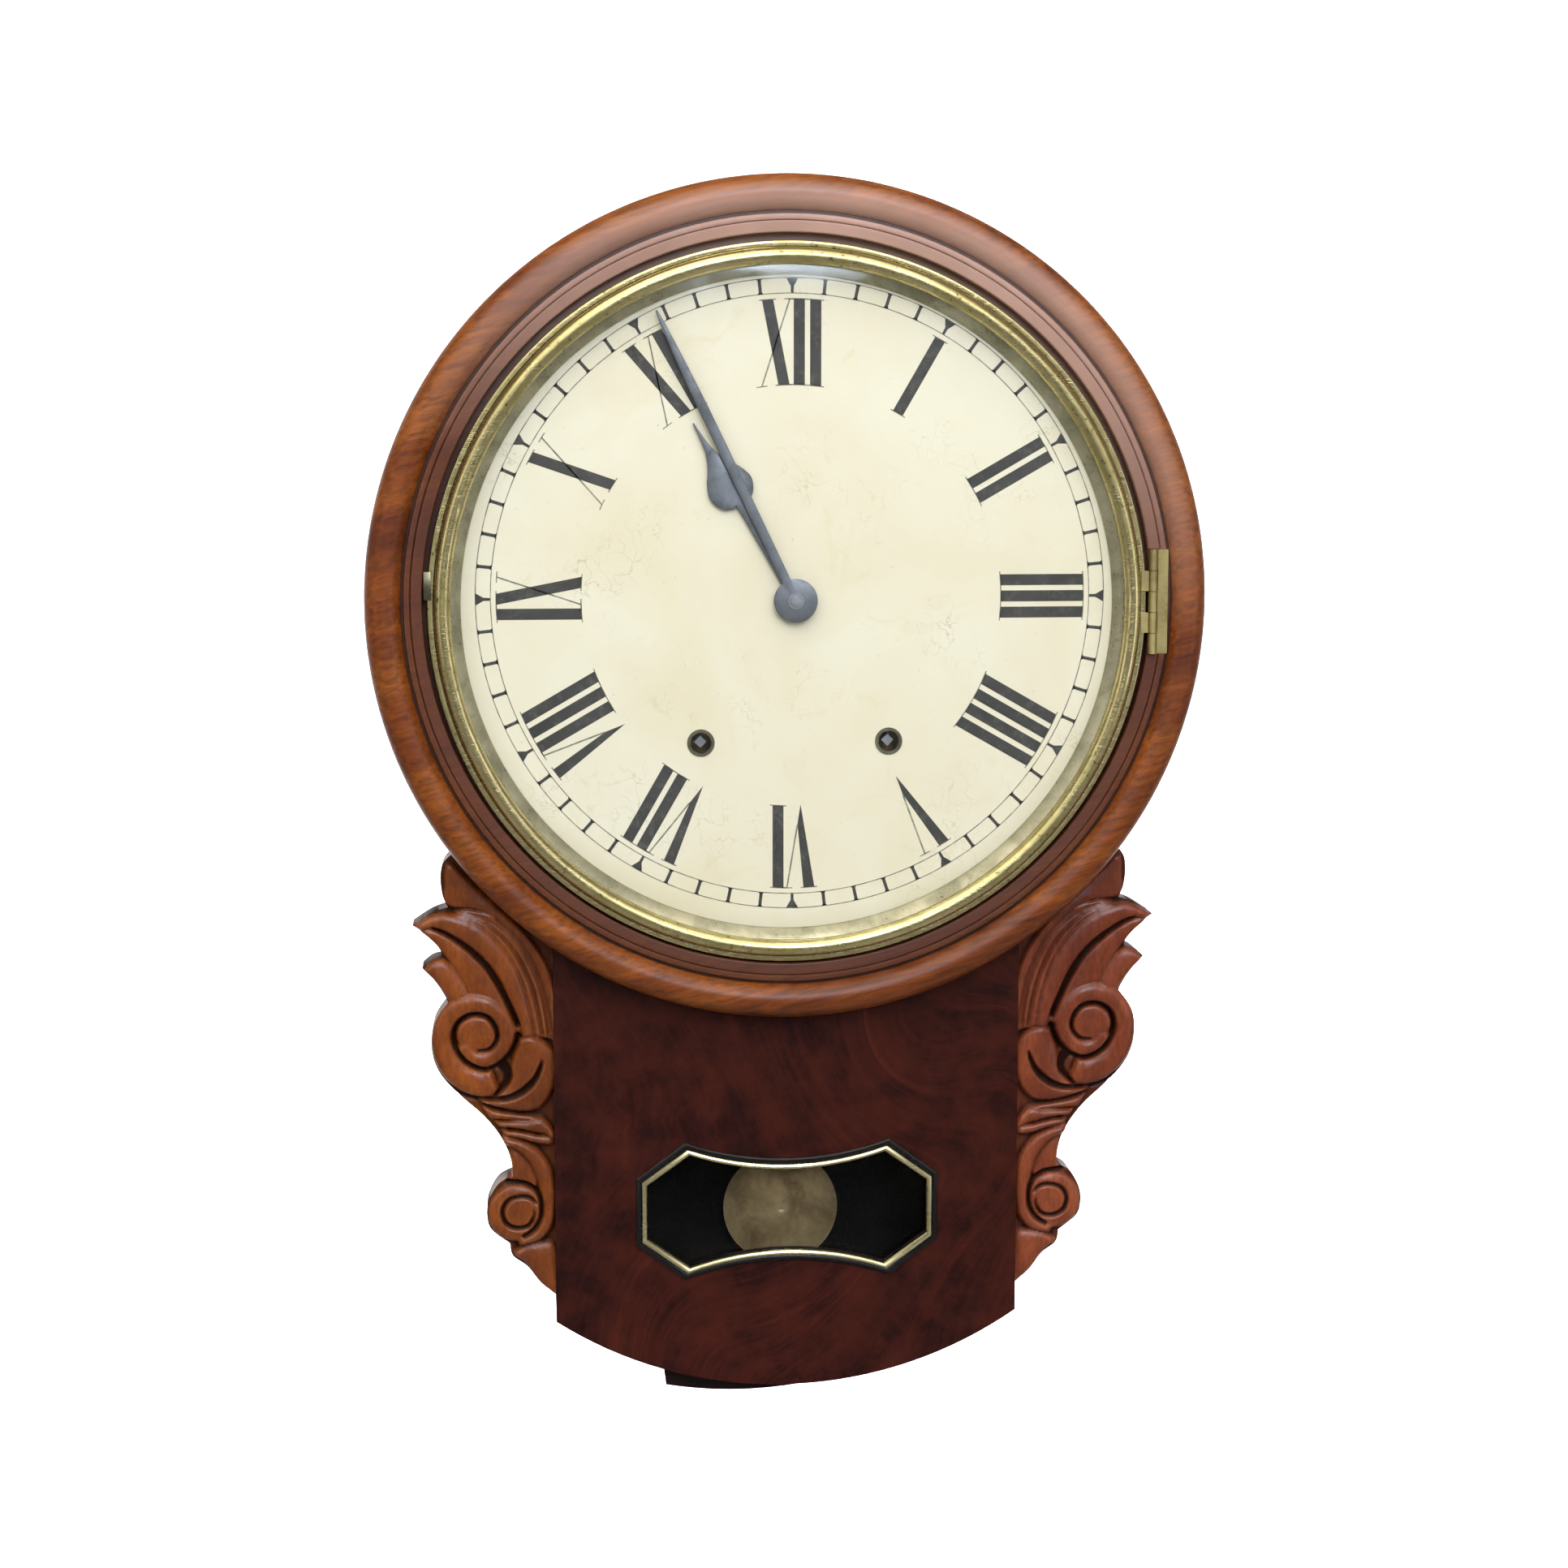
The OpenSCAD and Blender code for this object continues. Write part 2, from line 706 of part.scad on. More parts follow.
module ear_left() {
    color("#8a5020") clock() {
        ear_base = panel_front - ear_t;
        at([0, 0], ear_base) linear_extrude(ear_t - carve_h) ear_outline();
        at([0, 0], panel_front - carve_h) intersection() {
            linear_extrude(carve_h) ear_outline();
            ear_place() {
                leaf(leaf_big, carve_h * 0.6);
                leaf(leaf_small, carve_h * 0.5);
                leaf(bulb, carve_h * 0.7);
                leaf(stem, carve_h * 0.7);
                leaf(tail, carve_h * 0.6);
                at(scroll_at, 0) disc(scroll_r, carve_h * 0.5);
                at(curl_at, 0) disc(curl_r, carve_h * 0.5);
                roll(scroll_at, scroll_r, 1.6, carve_h, 5);
                roll(curl_at, curl_r, 1.4, carve_h, 3.6);
            }
        }
    }
}

module ear_right() {
    mirror([1, 0, 0]) ear_left();
}

// Window

module window_border() {
    color("#15100f") clock() at([0, 0], case_depth + window_rebate)
        linear_extrude(panel_t - window_rebate + 0.6) difference() {
            window_outline(0);
            window_outline(-border_w);
        }
}

module window_frame() {
    color("#c8b050") clock() at([0, 0], case_depth + window_rebate)
        linear_extrude(panel_t - window_rebate - 1) difference() {
            window_outline(-border_w);
            window_outline(-border_w - line_w);
        }
}

module window_glass() {
    color("#c8d8d8", 0.3) clock() at([0, 0], case_depth + window_rebate - window_glass_t)
        linear_extrude(window_glass_t) window_outline(window_glass_lap - 0.5);
}

// Small blocks that hold the glass in its rebate
module glazing_blocks() {
    block = 2.7;
    block_h = 1.5;
    block_back = case_depth + window_rebate - window_glass_t - block_h;
    reach = window_glass_lap - block / 2 - 0.05;
    color("dimgray") clock() for (p = [[1, 0], [-1, 0], [0, 1], [0, -1]])
        at([p[0] * (window_half_w + reach), -window_drop + p[1] * (window_waist_h + reach)], block_back)
            translate([-block / 2, -block / 2, 0]) cube([block, block, block_h]);
}

// Dial

module dial() {
    color("#efebd0") clock() at([0, 0], dial_back) difference() {
        cylinder(r = dial_r, h = dial_t, $fn = 180);
        at(centre_at, -1) disc(hour_pipe_r + 1.2, dial_t + 2);
        for (p = [time_at, strike_at]) at(p, -1) disc(ferrule_r + 1.1, dial_t + 2);
        for (p = dial_screw_at) at(p, -1) disc(dial_screw_r, dial_t + 2);
    }
}

module dial_screws() {
    color("goldenrod") clock() for (p = dial_screw_at) {
        at(p, dial_back - dial_screw_depth) disc(dial_screw_r, dial_screw_depth + dial_t);
        at(p, dial_front) disc(dial_head_r, dial_head_t);
    }
}

module ferrules() {
    color("#54503c") clock() for (p = [time_at, strike_at]) {
        at(p, dial_back - 3) tube(ferrule_r + 1.1, ferrule_r, dial_t + 3.3);
        at(p, dial_front) tube(ferrule_r + 1.5, ferrule_r, 0.3);
    }
}

// Bezel

module bezel_place() {
    clock() translate([0, -bezel_sag, 0]) children();
}

// Turned ring with a lifting tab at nine o'clock
module bezel_ring() {
    bead_at = bezel_r - 3 - bead_r;
    lip = bead_at - bead_r;
    seat = glass_rim_r + 0.3;
    ledge = glass_back + glass_t + 0.3;
    color("#c8b860") bezel_place() {
        rotate_extrude($fn = 180) polygon(concat(
            [[skirt_r, skirt_back], [bezel_r, skirt_back], [bezel_r, flange_front - 0.7]],
            [[bezel_r - 0.7, flange_front], [bezel_r - 2.5, flange_front]],
            [[bezel_r - 2.9, flange_front - 0.8]],
            arc_points([bead_at, bead_c], bead_r, bead_r, -20, 180, 14),
            [[lip, ledge], [seat, ledge], [seat, glass_back - 0.9], [skirt_r, glass_back - 0.9]]));
        translate([-bezel_r - tab_reach, 4, flange_front - 0.5]) cube([tab_reach + 2, tab_h, 1.4]);
    }
}

// Domed glass cut from two spheres
module bezel_glass() {
    dome_c = glass_back + glass_dome - dome_r;
    color("#d8e4e4", 0.3) bezel_place() intersection() {
        difference() {
            translate([0, 0, dome_c]) sphere(r = dome_r + glass_t, $fn = 200);
            translate([0, 0, dome_c]) sphere(r = dome_r, $fn = 200);
        }
        translate([0, 0, glass_back]) cylinder(r = glass_rim_r, h = glass_dome + glass_t + 1, $fn = 180);
    }
}

// Sloping ring between the glass and the dial
module sight_ring() {
    top = glass_back - 0.1;
    color("#8a8048") bezel_place() rotate_extrude($fn = 180) polygon([
        [sight_r, dial_front + 0.6], [sight_r, dial_front + 1.2], [glass_rim_r - 2, top], [glass_rim_r, top],
        [glass_rim_r, top - 0.8], [glass_rim_r - 1.6, top - 0.8], [sight_r + 0.8, dial_front + 0.6]]);
}

// Hinge

module knuckle_stack(parity, r) {
    for (i = [parity:2:knuckles - 1])
        translate([hinge_x, -hinge_h / 2 + i * knuckle_h + (i > 0 ? 0.15 : 0), hinge_front])
            rotate([-90, 0, 0]) disc(r, knuckle_h - (i > 0 && i < knuckles - 1 ? 0.3 : 0.15));
}

module hinge_recess() {
    translate([bezel_r - 0.6, -hinge_h / 2 - 0.3, band_front - 2.2])
        cube([knuckle_r + hinge_x - bezel_r + 1.1, hinge_h + 0.6, 6]);
    translate([hinge_x, -hinge_h / 2 - 0.1, band_front - leaf_t])
        cube([leaf_w + 0.1, hinge_h + 0.2, 6]);
}

// Rod on the hinge's line that reaches past both ends
module hinge_rod(r, past) {
    translate([hinge_x, -hinge_h / 2 - past, hinge_front]) rotate([-90, 0, 0]) disc(r, hinge_h + 2 * past);
}

module hinge_case_leaf() {
    color("#a89848") clock() difference() {
        union() {
            knuckle_stack(0, knuckle_r);
            difference() {
                translate([hinge_x, -hinge_h / 2, band_front - leaf_t]) cube([leaf_w, hinge_h, leaf_t]);
                for (i = [1:2:knuckles - 1]) translate([hinge_x - 1, -hinge_h / 2 + i * knuckle_h, 0])
                    cube([knuckle_r + 1.4, knuckle_h, band_front + 10]);
            }
        }
        hinge_rod(hinge_pin_r, 1);
    }
}

module hinge_bezel_leaf() {
    color("#a89848") clock() difference() {
        union() {
            knuckle_stack(1, knuckle_r);
            for (i = [1:2:knuckles - 1])
                translate([bezel_r - 2.6, -hinge_h / 2 + i * knuckle_h + 0.15, flange_front])
                    cube([hinge_x - bezel_r + 2.6, knuckle_h - 0.3, 0.9]);
        }
        hinge_rod(hinge_pin_r + run_gap, 1);
    }
}

module hinge_pin() {
    color("#8c7c38") clock() hinge_rod(hinge_pin_r, 0.1);
}

// Hands

module hand_turn(angle) {
    at(centre_at, 0) rotate(-angle) children();
}

// Spade blade on a tapered stem and a round boss
module hour_outline() {
    blade = hour_len * 0.64;
    neck = asin(2.2 / hour_boss_r);
    edge = [[1.9, blade - 9], [7.4, blade - 7.4], [10.4, blade - 1], [8.6, blade + 5.6],
        [4.6, blade + 12], [1.6, blade + 20], [0, hour_len]];
    polygon(concat(
        arc_points([0, 0], hour_boss_r, hour_boss_r, 90 + neck, 450 - neck, 40),
        through(edge, 5),
        through([for (i = [len(edge) - 1:-1:0]) [-edge[i][0], edge[i][1]]], 5),
        [[-edge[0][0], edge[0][1]]]));
}

module hour_hand() {
    color("#3c3e44") clock() hand_turn(hour_at) at([0, 0], hour_hand_back) linear_extrude(hand_t)
        difference() {
            hour_outline();
            circle(r = hour_pipe_r);
        }
}

module minute_hand() {
    edge = [[2.1, 6], [2.3, minute_len * 0.62], [1.1, minute_len - 8], [0.5, minute_len]];
    color("#3c3e44") clock() hand_turn(minute_at) at([0, 0], minute_hand_back) linear_extrude(hand_t)
        difference() {
            union() {
                polygon(concat(edge, [for (i = [len(edge) - 1:-1:0]) [-edge[i][0], edge[i][1]]]));
                circle(r = boss_r);
            }
            circle(r = hand_shaft_r);
        }
}

module hand_nut() {
    color("#6a6a60") clock() at(centre_at, minute_hand_back + hand_t) difference() {
        union() {
            disc(3.6, 0.8);
            disc(2.4, 2);
        }
        at([0, 0], -1) disc(hand_shaft_r, 4);
    }
}

// Movement

module movement_blocks() {
    color("peru") clock() difference() {
        for (side = [-1, 1]) at(centre_at + [side * block_x - block_w / 2, block_y[0]], board_t)
            cube([block_w, block_y[1] - block_y[0], plate_back - board_t]);
        for (p = movement_screw_at)
            at(p, plate_back - movement_screw_depth) disc(stud_r, movement_screw_depth + 1);
    }
}

module movement_screws() {
    color("gray") clock() for (p = movement_screw_at) {
        at(p, plate_back - movement_screw_depth) disc(stud_r, movement_screw_depth + plate_t);
        at(p, plate_back + plate_t) disc(2 * stud_r, 1.4);
    }
}

// Skeleton plate with its pivot holes
module plate(level, anchor_r) {
    at([0, 0], level) difference() {
        at(centre_at, 0) linear_extrude(plate_t) difference() {
            translate([-plate_half_w, plate_foot]) square([2 * plate_half_w, plate_top - plate_foot]);
            for (side = [-1, 1]) translate([side * 4 + (side < 0 ? -18 : 0), -100]) square([18, 60]);
        }
        for (p = [second_at, third_at, escape_at, strike_second_at, warning_at, fly_at, hammer_at])
            at(p, -1) disc(pivot_r + run_gap, plate_t + 2);
        for (p = [time_at, strike_at]) at(p, -1) disc(winding_r + run_gap, plate_t + 2);
        at(centre_at, -1) disc(hand_shaft_r + run_gap, plate_t + 2);
        at(pivot_at, -1) disc(anchor_r + run_gap, plate_t + 2);
        for (p = pillar_at) at(centre_at + p, -1) disc(stud_r, plate_t + 2);
    }
}

module back_plate() {
    color("#c0a040") clock() difference() {
        plate(plate_back, shaft_r);
        for (p = movement_screw_at) at(p, plate_back - 1) disc(stud_r, plate_t + 2);
        at(post_at, plate_back - 1) disc(stud_r, plate_t + 2);
    }
}

module front_plate() {
    color("#c0a040") clock() difference() {
        plate(inner_front, pivot_r);
        at(minute_wheel_at, inner_front - 1) disc(pivot_r, plate_t + 2);
    }
}

module pillars() {
    color("#b09038") clock() {
        for (p = pillar_at) at(centre_at + p, 0) {
            at([0, 0], inner_back) disc(pillar_r, plate_gap);
            at([0, 0], plate_back - nut_t) disc(stud_r, plate_front - plate_back + 2 * nut_t);
            for (level = [plate_back - nut_t, plate_front])
                at([0, 0], level) cylinder(r = 3.4, h = nut_t, $fn = 6);
        }
        at(minute_wheel_at, inner_front) disc(pivot_r, hour_wheel_back + wheel_t - inner_front + 1);
    }
}

// Wound strip from the arbor out to a hook on the pillar
module mainspring(place, pillar) {
    turns = 7;
    inner = winding_r + 0.35;
    steps = 24;
    strip = 0.9;
    total = steps * turns;
    side = function (i, out) let (a = 360 * i / steps)
        (inner + (spring_r - inner) * i / total + out) * [cos(a), sin(a)];
    at(place, spring_back) rotate(bearing(place, pillar)) linear_extrude(spring_w) {
        polygon(concat([for (i = [0:total]) side(i, 0)], [for (i = [total:-1:0]) side(i, strip)]));
        translate([spring_r, 0]) square([norm(pillar - place) - pillar_r - 0.05 - spring_r, strip]);
    }
}

module mainsprings() {
    color("#506080") clock() {
        mainspring(time_at, centre_at + pillar_at[2]);
        mainspring(strike_at, centre_at + pillar_at[3]);
    }
}

module great_wheel(place, next) {
    at(place, great_back) {
        wheel(great_teeth, great_module, wheel_t, winding_r + run_gap, bearing(place, next), hub = great_hub);
        rotate(40) translate([click_reach, 0, wheel_t - 0.3]) linear_extrude(1.7) hull() {
            circle(r = 2.4);
            translate([-3, -5]) circle(r = 1);
        }
    }
}

module winding_arbor(place) {
    at(place, 0) {
        at([0, 0], plate_back + 0.2) disc(winding_r, plate_front - plate_back - 0.2);
        at([0, 0], plate_front) rotate(45) translate([-key_half, -key_half, 0])
            cube([2 * key_half, 2 * key_half, dial_back - 4 - plate_front]);
        at([0, 0], great_back + wheel_t + part_gap) linear_extrude(2) difference() {
            polygon([for (i = [0:ratchet_teeth - 1], tip = [0, 1])
                let (a = 360 * i / ratchet_teeth + 2 * tip)
                (ratchet_r + ratchet_tooth * tip) * [cos(a), sin(a)]]);
            circle(r = winding_r - 0.5);
        }
    }
}

module time_great_wheel() {
    color("#c8a848") clock() great_wheel(time_at, second_at);
}

module strike_great_wheel() {
    color("#c8a848") clock() great_wheel(strike_at, strike_second_at);
}

module time_winding_arbor() {
    color("#808890") clock() winding_arbor(time_at);
}

module strike_winding_arbor() {
    color("#808890") clock() winding_arbor(strike_at);
}

module time_second_wheel() {
    color("#c8a848") clock() at(second_at, 0) {
        arbor();
        at([0, 0], great_back - 2)
            pinion(second_pinion, great_module, wheel_t + 4, mating(second_at, time_at, second_pinion));
        at([0, 0], second_back)
            wheel(second_teeth, second_module, wheel_t, shaft_r - 0.4, bearing(second_at, centre_at));
    }
}

module centre_arbor() {
    color("#c8a848") clock() at(centre_at, 0) {
        at([0, 0], plate_back + 0.2) disc(hand_shaft_r, minute_hand_back + hand_t + 2.9 - plate_back);
        at([0, 0], second_back - 1.5)
            pinion(centre_pinion, second_module, wheel_t + 2.6, mating(centre_at, second_at, centre_pinion));
        at([0, 0], centre_back)
            wheel(centre_teeth, train_module, fine_t + 0.4, hand_shaft_r - 0.4, bearing(centre_at, third_at));
        at([0, 0], motion_back - 1.6)
            pinion(cannon_teeth, motion_module, 4, mating(centre_at, minute_wheel_at, cannon_teeth));
        at([0, 0], motion_back) disc(pipe_r, minute_hand_back - motion_back);
    }
}

module third_wheel() {
    color("#c8a848") clock() at(third_at, 0) {
        arbor();
        at([0, 0], centre_back - 1.5)
            pinion(leaves, train_module, fine_t + 3.6, mating(third_at, centre_at, leaves));
        at([0, 0], third_back)
            wheel(third_teeth, third_module, fine_t, shaft_r - 0.4, bearing(third_at, escape_at));
    }
}

// Escape wheel with thirty hooked teeth
module escape_outline() {
    pitch = 360 / escape_teeth;
    hook = [[0, 0], [0.12, 0], [0.42, -3], [0.75, -3]];
    polygon([for (i = [0:escape_teeth - 1], c = hook)
        let (a = pitch * (i + c[0])) (escape_r + c[1]) * [cos(a), sin(a)]]);
}

module escape_wheel() {
    color("#c8a848") clock() at(escape_at, 0) {
        arbor();
        at([0, 0], third_back - 1.5)
            pinion(leaves, third_module, fine_t + 3, mating(escape_at, third_at, leaves));
        at([0, 0], escape_back) linear_extrude(0.8) difference() {
            escape_outline();
            difference() {
                circle(r = escape_r - 4.4);
                circle(r = 3.2);
                for (i = [0:3]) rotate(i * 90) translate([0, -0.7]) square([escape_r, 1.4]);
            }
        }
    }
}

// Anchor, its arbor and the crutch that leads the pendulum
module anchor() {
    reach = (escape_r + 1.7) * sin(45);
    drop = escape_r / cos(45) - (escape_r + 1.7) * cos(45);
    color("#70757c") clock() at(pivot_at, 0) {
        at([0, 0], inner_back + 0.2) disc(shaft_r, plate_gap - 0.4);
        at([0, 0], inner_front - 1) disc(pivot_r, plate_t + 1.3);
        at([0, 0], crutch_back) disc(shaft_r, inner_back - crutch_back + 1);
        at([0, 0], escape_back - 1) linear_extrude(2.8) union() {
            circle(r = 3);
            for (side = [-1, 1]) {
                hull() {
                    circle(r = 2);
                    translate([side * (reach + 0.5), -drop * 0.35]) circle(r = 1.2);
                }
                hull() {
                    translate([side * (reach + 0.5), -drop * 0.35]) circle(r = 1.2);
                    translate([side * (reach + 0.3), -drop]) circle(r = 0.5);
                }
            }
        }
        translate([-1.5, -46, crutch_back]) cube([3, 46, 1]);
        translate([-1.5, -46, crutch_back]) difference() {
            translate([-1.6, 0, -8.5]) cube([6.2, 4, 9.5]);
            translate([-0.4, -1, -10]) cube([3.8, 6, 10]);
        }
    }
}

module hour_wheel() {
    color("#c8a848") clock() at(centre_at, 0) difference() {
        union() {
            at([0, 0], hour_wheel_back)
                wheel(hour_teeth, hour_module, wheel_t, pipe_r,
                    mating(centre_at, minute_wheel_at, hour_teeth));
            at([0, 0], hour_wheel_back) disc(hour_pipe_r, hour_hand_back + hand_t - hour_wheel_back);
        }
        at([0, 0], hour_wheel_back - 1) disc(pipe_r + run_gap, 40);
    }
}

module minute_wheel() {
    color("#c8a848") clock() at(minute_wheel_at, 0) difference() {
        union() {
            at([0, 0], motion_back)
                wheel(minute_wheel_teeth, motion_module, wheel_t, pivot_r,
                    bearing(minute_wheel_at, centre_at));
            at([0, 0], motion_back)
                pinion(minute_pinion, hour_module, hour_wheel_back + wheel_t - motion_back,
                    bearing(minute_wheel_at, centre_at));
        }
        at([0, 0], motion_back - 1) disc(pivot_r + run_gap, 20);
    }
}

module strike_second_wheel() {
    color("#c8a848") clock() at(strike_second_at, 0) {
        arbor();
        at([0, 0], great_back - 2)
            pinion(second_pinion, great_module, wheel_t + 4,
                mating(strike_second_at, strike_at, second_pinion));
        at([0, 0], second_back)
            wheel(second_teeth, strike_module, wheel_t, shaft_r - 0.4, bearing(strike_second_at, warning_at));
        for (i = [0:7]) rotate(i * 45)
            at([second_teeth * strike_module / 2 - 1.9, 0], second_back - 4) disc(0.6, 4.5);
    }
}

module warning_wheel() {
    color("#c8a848") clock() at(warning_at, 0) {
        arbor();
        at([0, 0], second_back - 1.5)
            pinion(leaves, strike_module, wheel_t + 3, mating(warning_at, strike_second_at, leaves));
        at([0, 0], warning_back)
            wheel(warning_teeth, warning_module, fine_t, shaft_r - 0.4, bearing(warning_at, fly_at));
    }
}

module fly() {
    color("#b8b090") clock() at(fly_at, 0) {
        arbor(r = 1.1);
        at([0, 0], warning_back - 1.5)
            pinion(leaves, warning_module, fine_t + 3, mating(fly_at, warning_at, leaves));
        at([-vane_w / 2, -vane_t / 2], warning_back + 7) cube([vane_w, vane_t, vane_h]);
    }
}

module hammer() {
    head_w = 8;
    head_h = 9;
    head_t = 10;
    rest_gap = 0.9;
    head = [gong_at[0] - gong_r - gong_wire - rest_gap - head_w / 2, gong_at[1]] - hammer_at;
    color("#707070") clock() at(hammer_at, 0) {
        arbor(r = 1.2);
        at([0, 0], gong_line) rotate(bearing([0, 0], head)) rotate([0, 90, 0]) disc(1, norm(head) - 3);
        translate([head[0] - head_w / 2, head[1] - head_h / 2, gong_line - head_t / 2])
            cube([head_w, head_h, head_t]);
    }
}

// Coiled gong wire, swept along a flat spiral
module gong() {
    steps = 24;
    rings = steps * gong_turns;
    sides = 6;
    turn = function (i) gong_grip + 4 - 360 * i / steps;
    centre = function (i) let (a = turn(i), r = gong_r - gong_step * i / steps) [r * cos(a), r * sin(a), 0];
    ring = function (i) [for (k = [0:sides - 1])
        centre(i) + gong_wire * (cos(360 * k / sides) * [cos(turn(i)), sin(turn(i)), 0]
            + sin(360 * k / sides) * [0, 0, 1])];
    color("#5a6070") clock() at(gong_at, gong_line) polyhedron(
        points = [for (i = [0:rings]) each ring(i)],
        faces = concat(
            [[for (k = [0:sides - 1]) k]],
            [for (i = [0:rings - 1], k = [0:sides - 1])
                let (a = i * sides + k, b = i * sides + (k + 1) % sides)
                each [[a, a + sides, b + sides], [a, b + sides, b]]],
            [[for (k = [sides - 1:-1:0]) rings * sides + k]]));
}

// Iron stand that grips the outer end of the gong wire
module gong_stand() {
    grip = step_from(gong_at, gong_r, gong_grip);
    foot_wide = 9;
    foot_t = 4;
    post_r = 4.5;
    color("#303030") clock() difference() {
        union() {
            at(grip, board_t) disc(foot_wide, foot_t);
            at(grip, board_t) disc(post_r, gong_line - board_t + post_r + 0.5);
        }
        at(grip, gong_line) rotate(gong_grip + 90) rotate([0, 90, 0]) at([0, 0], -2 * post_r)
            disc(gong_wire + 0.35, 4 * post_r);
    }
}

// Post that carries the pendulum on a pin across its fork
module suspension_post() {
    cheek = 3;
    slot = 2;
    depth = 2 * cheek + slot;
    color("#b09038") clock() {
        difference() {
            union() {
                at(post_at, rod_line - depth / 2) disc(3, plate_back - rod_line + depth / 2);
                at(post_at, plate_back - 1) disc(stud_r, plate_t + 1.5);
                at(pivot_at, rod_line - depth / 2) translate([-5, -3, 0]) cube([10, 8, depth]);
            }
            at(pivot_at, rod_line - slot / 2) translate([-6, -4, 0]) cube([12, 9, slot]);
        }
        at(pivot_at, rod_line - depth / 2 + 0.5) disc(pivot_r, depth - 1);
    }
}

module pendulum_rod() {
    foot = pivot_at[1] + bob_drop + bob_r + 8;
    strip = 24;
    color("#9a9070") clock() at(pivot_at, rod_line) difference() {
        union() {
            translate([-3, -strip - 2, -0.2]) cube([6, strip + 4.6, 0.4]);
            translate([0, 0, -0.7]) disc(2.2, 1.4);
            translate([0, -strip, 0]) rotate([90, 0, 0]) disc(rod_r, foot - strip);
        }
        translate([0, 0, -1]) disc(pivot_r + run_gap, 2);
    }
}

// Knurled nut under the bob
module rating_nut() {
    color("#a08c40") clock() at([pivot_at[0], -bob_drop - bob_r - 0.2], rod_line)
        rotate([90, 0, 0]) tube(4, rod_r, 3);
}

// Lens-shaped bob, bored for the rod
module pendulum_bob() {
    lens_r = (bob_r * bob_r + bob_t * bob_t / 4) / bob_t;
    color("#8a7a40") clock() at([pivot_at[0], -bob_drop], rod_line) difference() {
        intersection() {
            translate([0, 0, bob_t / 2 - lens_r]) sphere(r = lens_r, $fn = 120);
            translate([0, 0, lens_r - bob_t / 2]) sphere(r = lens_r, $fn = 120);
            translate([0, 0, -bob_t]) disc(bob_r - 0.4, 2 * bob_t);
        }
        translate([0, bob_r + 5, 0]) rotate([90, 0, 0]) disc(rod_r + run_gap, 2 * bob_r + 10);
    }
}

backboard();
case_side_left();
case_side_right();
case_top();
mask_board();
trunk_front();
foot_rail_left();
foot_rail_right();
foot_door();
door_pins();
door_button();
door_button_screw();
surround();
ear_left();
ear_right();
hanger_plate();
hanger_screws();
window_border();
window_frame();
window_glass();
glazing_blocks();
dial();
dial_screws();
ferrules();
bezel_ring();
bezel_glass();
sight_ring();
hinge_case_leaf();
hinge_bezel_leaf();
hinge_pin();
hour_hand();
minute_hand();
hand_nut();
movement_blocks();
movement_screws();
back_plate();
front_plate();
pillars();
mainsprings();
time_great_wheel();
strike_great_wheel();
time_winding_arbor();
strike_winding_arbor();
time_second_wheel();
centre_arbor();
third_wheel();
escape_wheel();
anchor();
hour_wheel();
minute_wheel();
strike_second_wheel();
warning_wheel();
fly();
hammer();
gong();
gong_stand();
suspension_post();
pendulum_rod();
pendulum_bob();
rating_nut();
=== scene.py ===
# Looks of the drop dial clock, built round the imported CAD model. Lengths in the tables are millimetres.
import math

import bmesh
import bpy
import numpy as np
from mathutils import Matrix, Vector, geometry, noise


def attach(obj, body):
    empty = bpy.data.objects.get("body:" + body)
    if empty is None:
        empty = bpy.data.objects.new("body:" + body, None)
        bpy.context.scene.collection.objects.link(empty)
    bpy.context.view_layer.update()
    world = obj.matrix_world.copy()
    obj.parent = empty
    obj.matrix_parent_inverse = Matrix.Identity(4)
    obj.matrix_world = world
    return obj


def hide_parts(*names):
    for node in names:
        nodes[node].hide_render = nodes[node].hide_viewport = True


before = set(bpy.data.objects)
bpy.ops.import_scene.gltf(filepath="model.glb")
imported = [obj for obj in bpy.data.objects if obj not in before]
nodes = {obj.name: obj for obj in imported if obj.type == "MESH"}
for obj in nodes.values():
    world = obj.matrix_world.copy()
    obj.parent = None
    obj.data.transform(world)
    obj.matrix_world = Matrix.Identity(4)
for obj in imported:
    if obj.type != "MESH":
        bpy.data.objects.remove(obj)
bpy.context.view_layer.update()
print("frame loaded:", len(nodes), "nodes")

# The clock's own frame: x to the right and y up from the surround's centre, t out from the wall
scale = 0.001
hangerRise = 132
dialFront = 98
arborAt = (2.6, 1.2)
printAt = (1.3, 2.5)
bezelAt = (0, -1.2)


def place(x, y, t):
    return (x * scale, -t * scale, (y - hangerRise) * scale)


def srgb(text, alpha=1.0):
    parts = [int(text[i:i + 2], 16) / 255 for i in (1, 3, 5)]
    return [c / 12.92 if c <= 0.04045 else ((c + 0.055) / 1.055) ** 2.4 for c in parts] + [alpha]


# Node helpers


def feed(socket, value):
    if isinstance(value, bpy.types.NodeSocket):
        socket.id_data.links.new(value, socket)
    else:
        socket.default_value = value


def fill(made, inputs):
    for name, value in inputs.items():
        feed(made.inputs[name], value)
    return made


def addNode(tree, kind, inputs={}, **settings):
    made = tree.nodes.new("ShaderNode" + kind)
    for name, value in settings.items():
        setattr(made, name, value)
    return fill(made, inputs)


# A node that goes where the first socket it is given lies
def nextNode(kind, inputs, **settings):
    tree = next(value.id_data for value in inputs.values() if isinstance(value, bpy.types.NodeSocket))
    return addNode(tree, kind, inputs, **settings)


def sums(operation, a, b=0.0, clamp=False):
    return nextNode("Math", {0: a, 1: b}, operation=operation, use_clamp=clamp).outputs[0]


def times(a, b):
    return sums("MULTIPLY", a, b)


def plus(a, b, clamp=False):
    return sums("ADD", a, b, clamp)


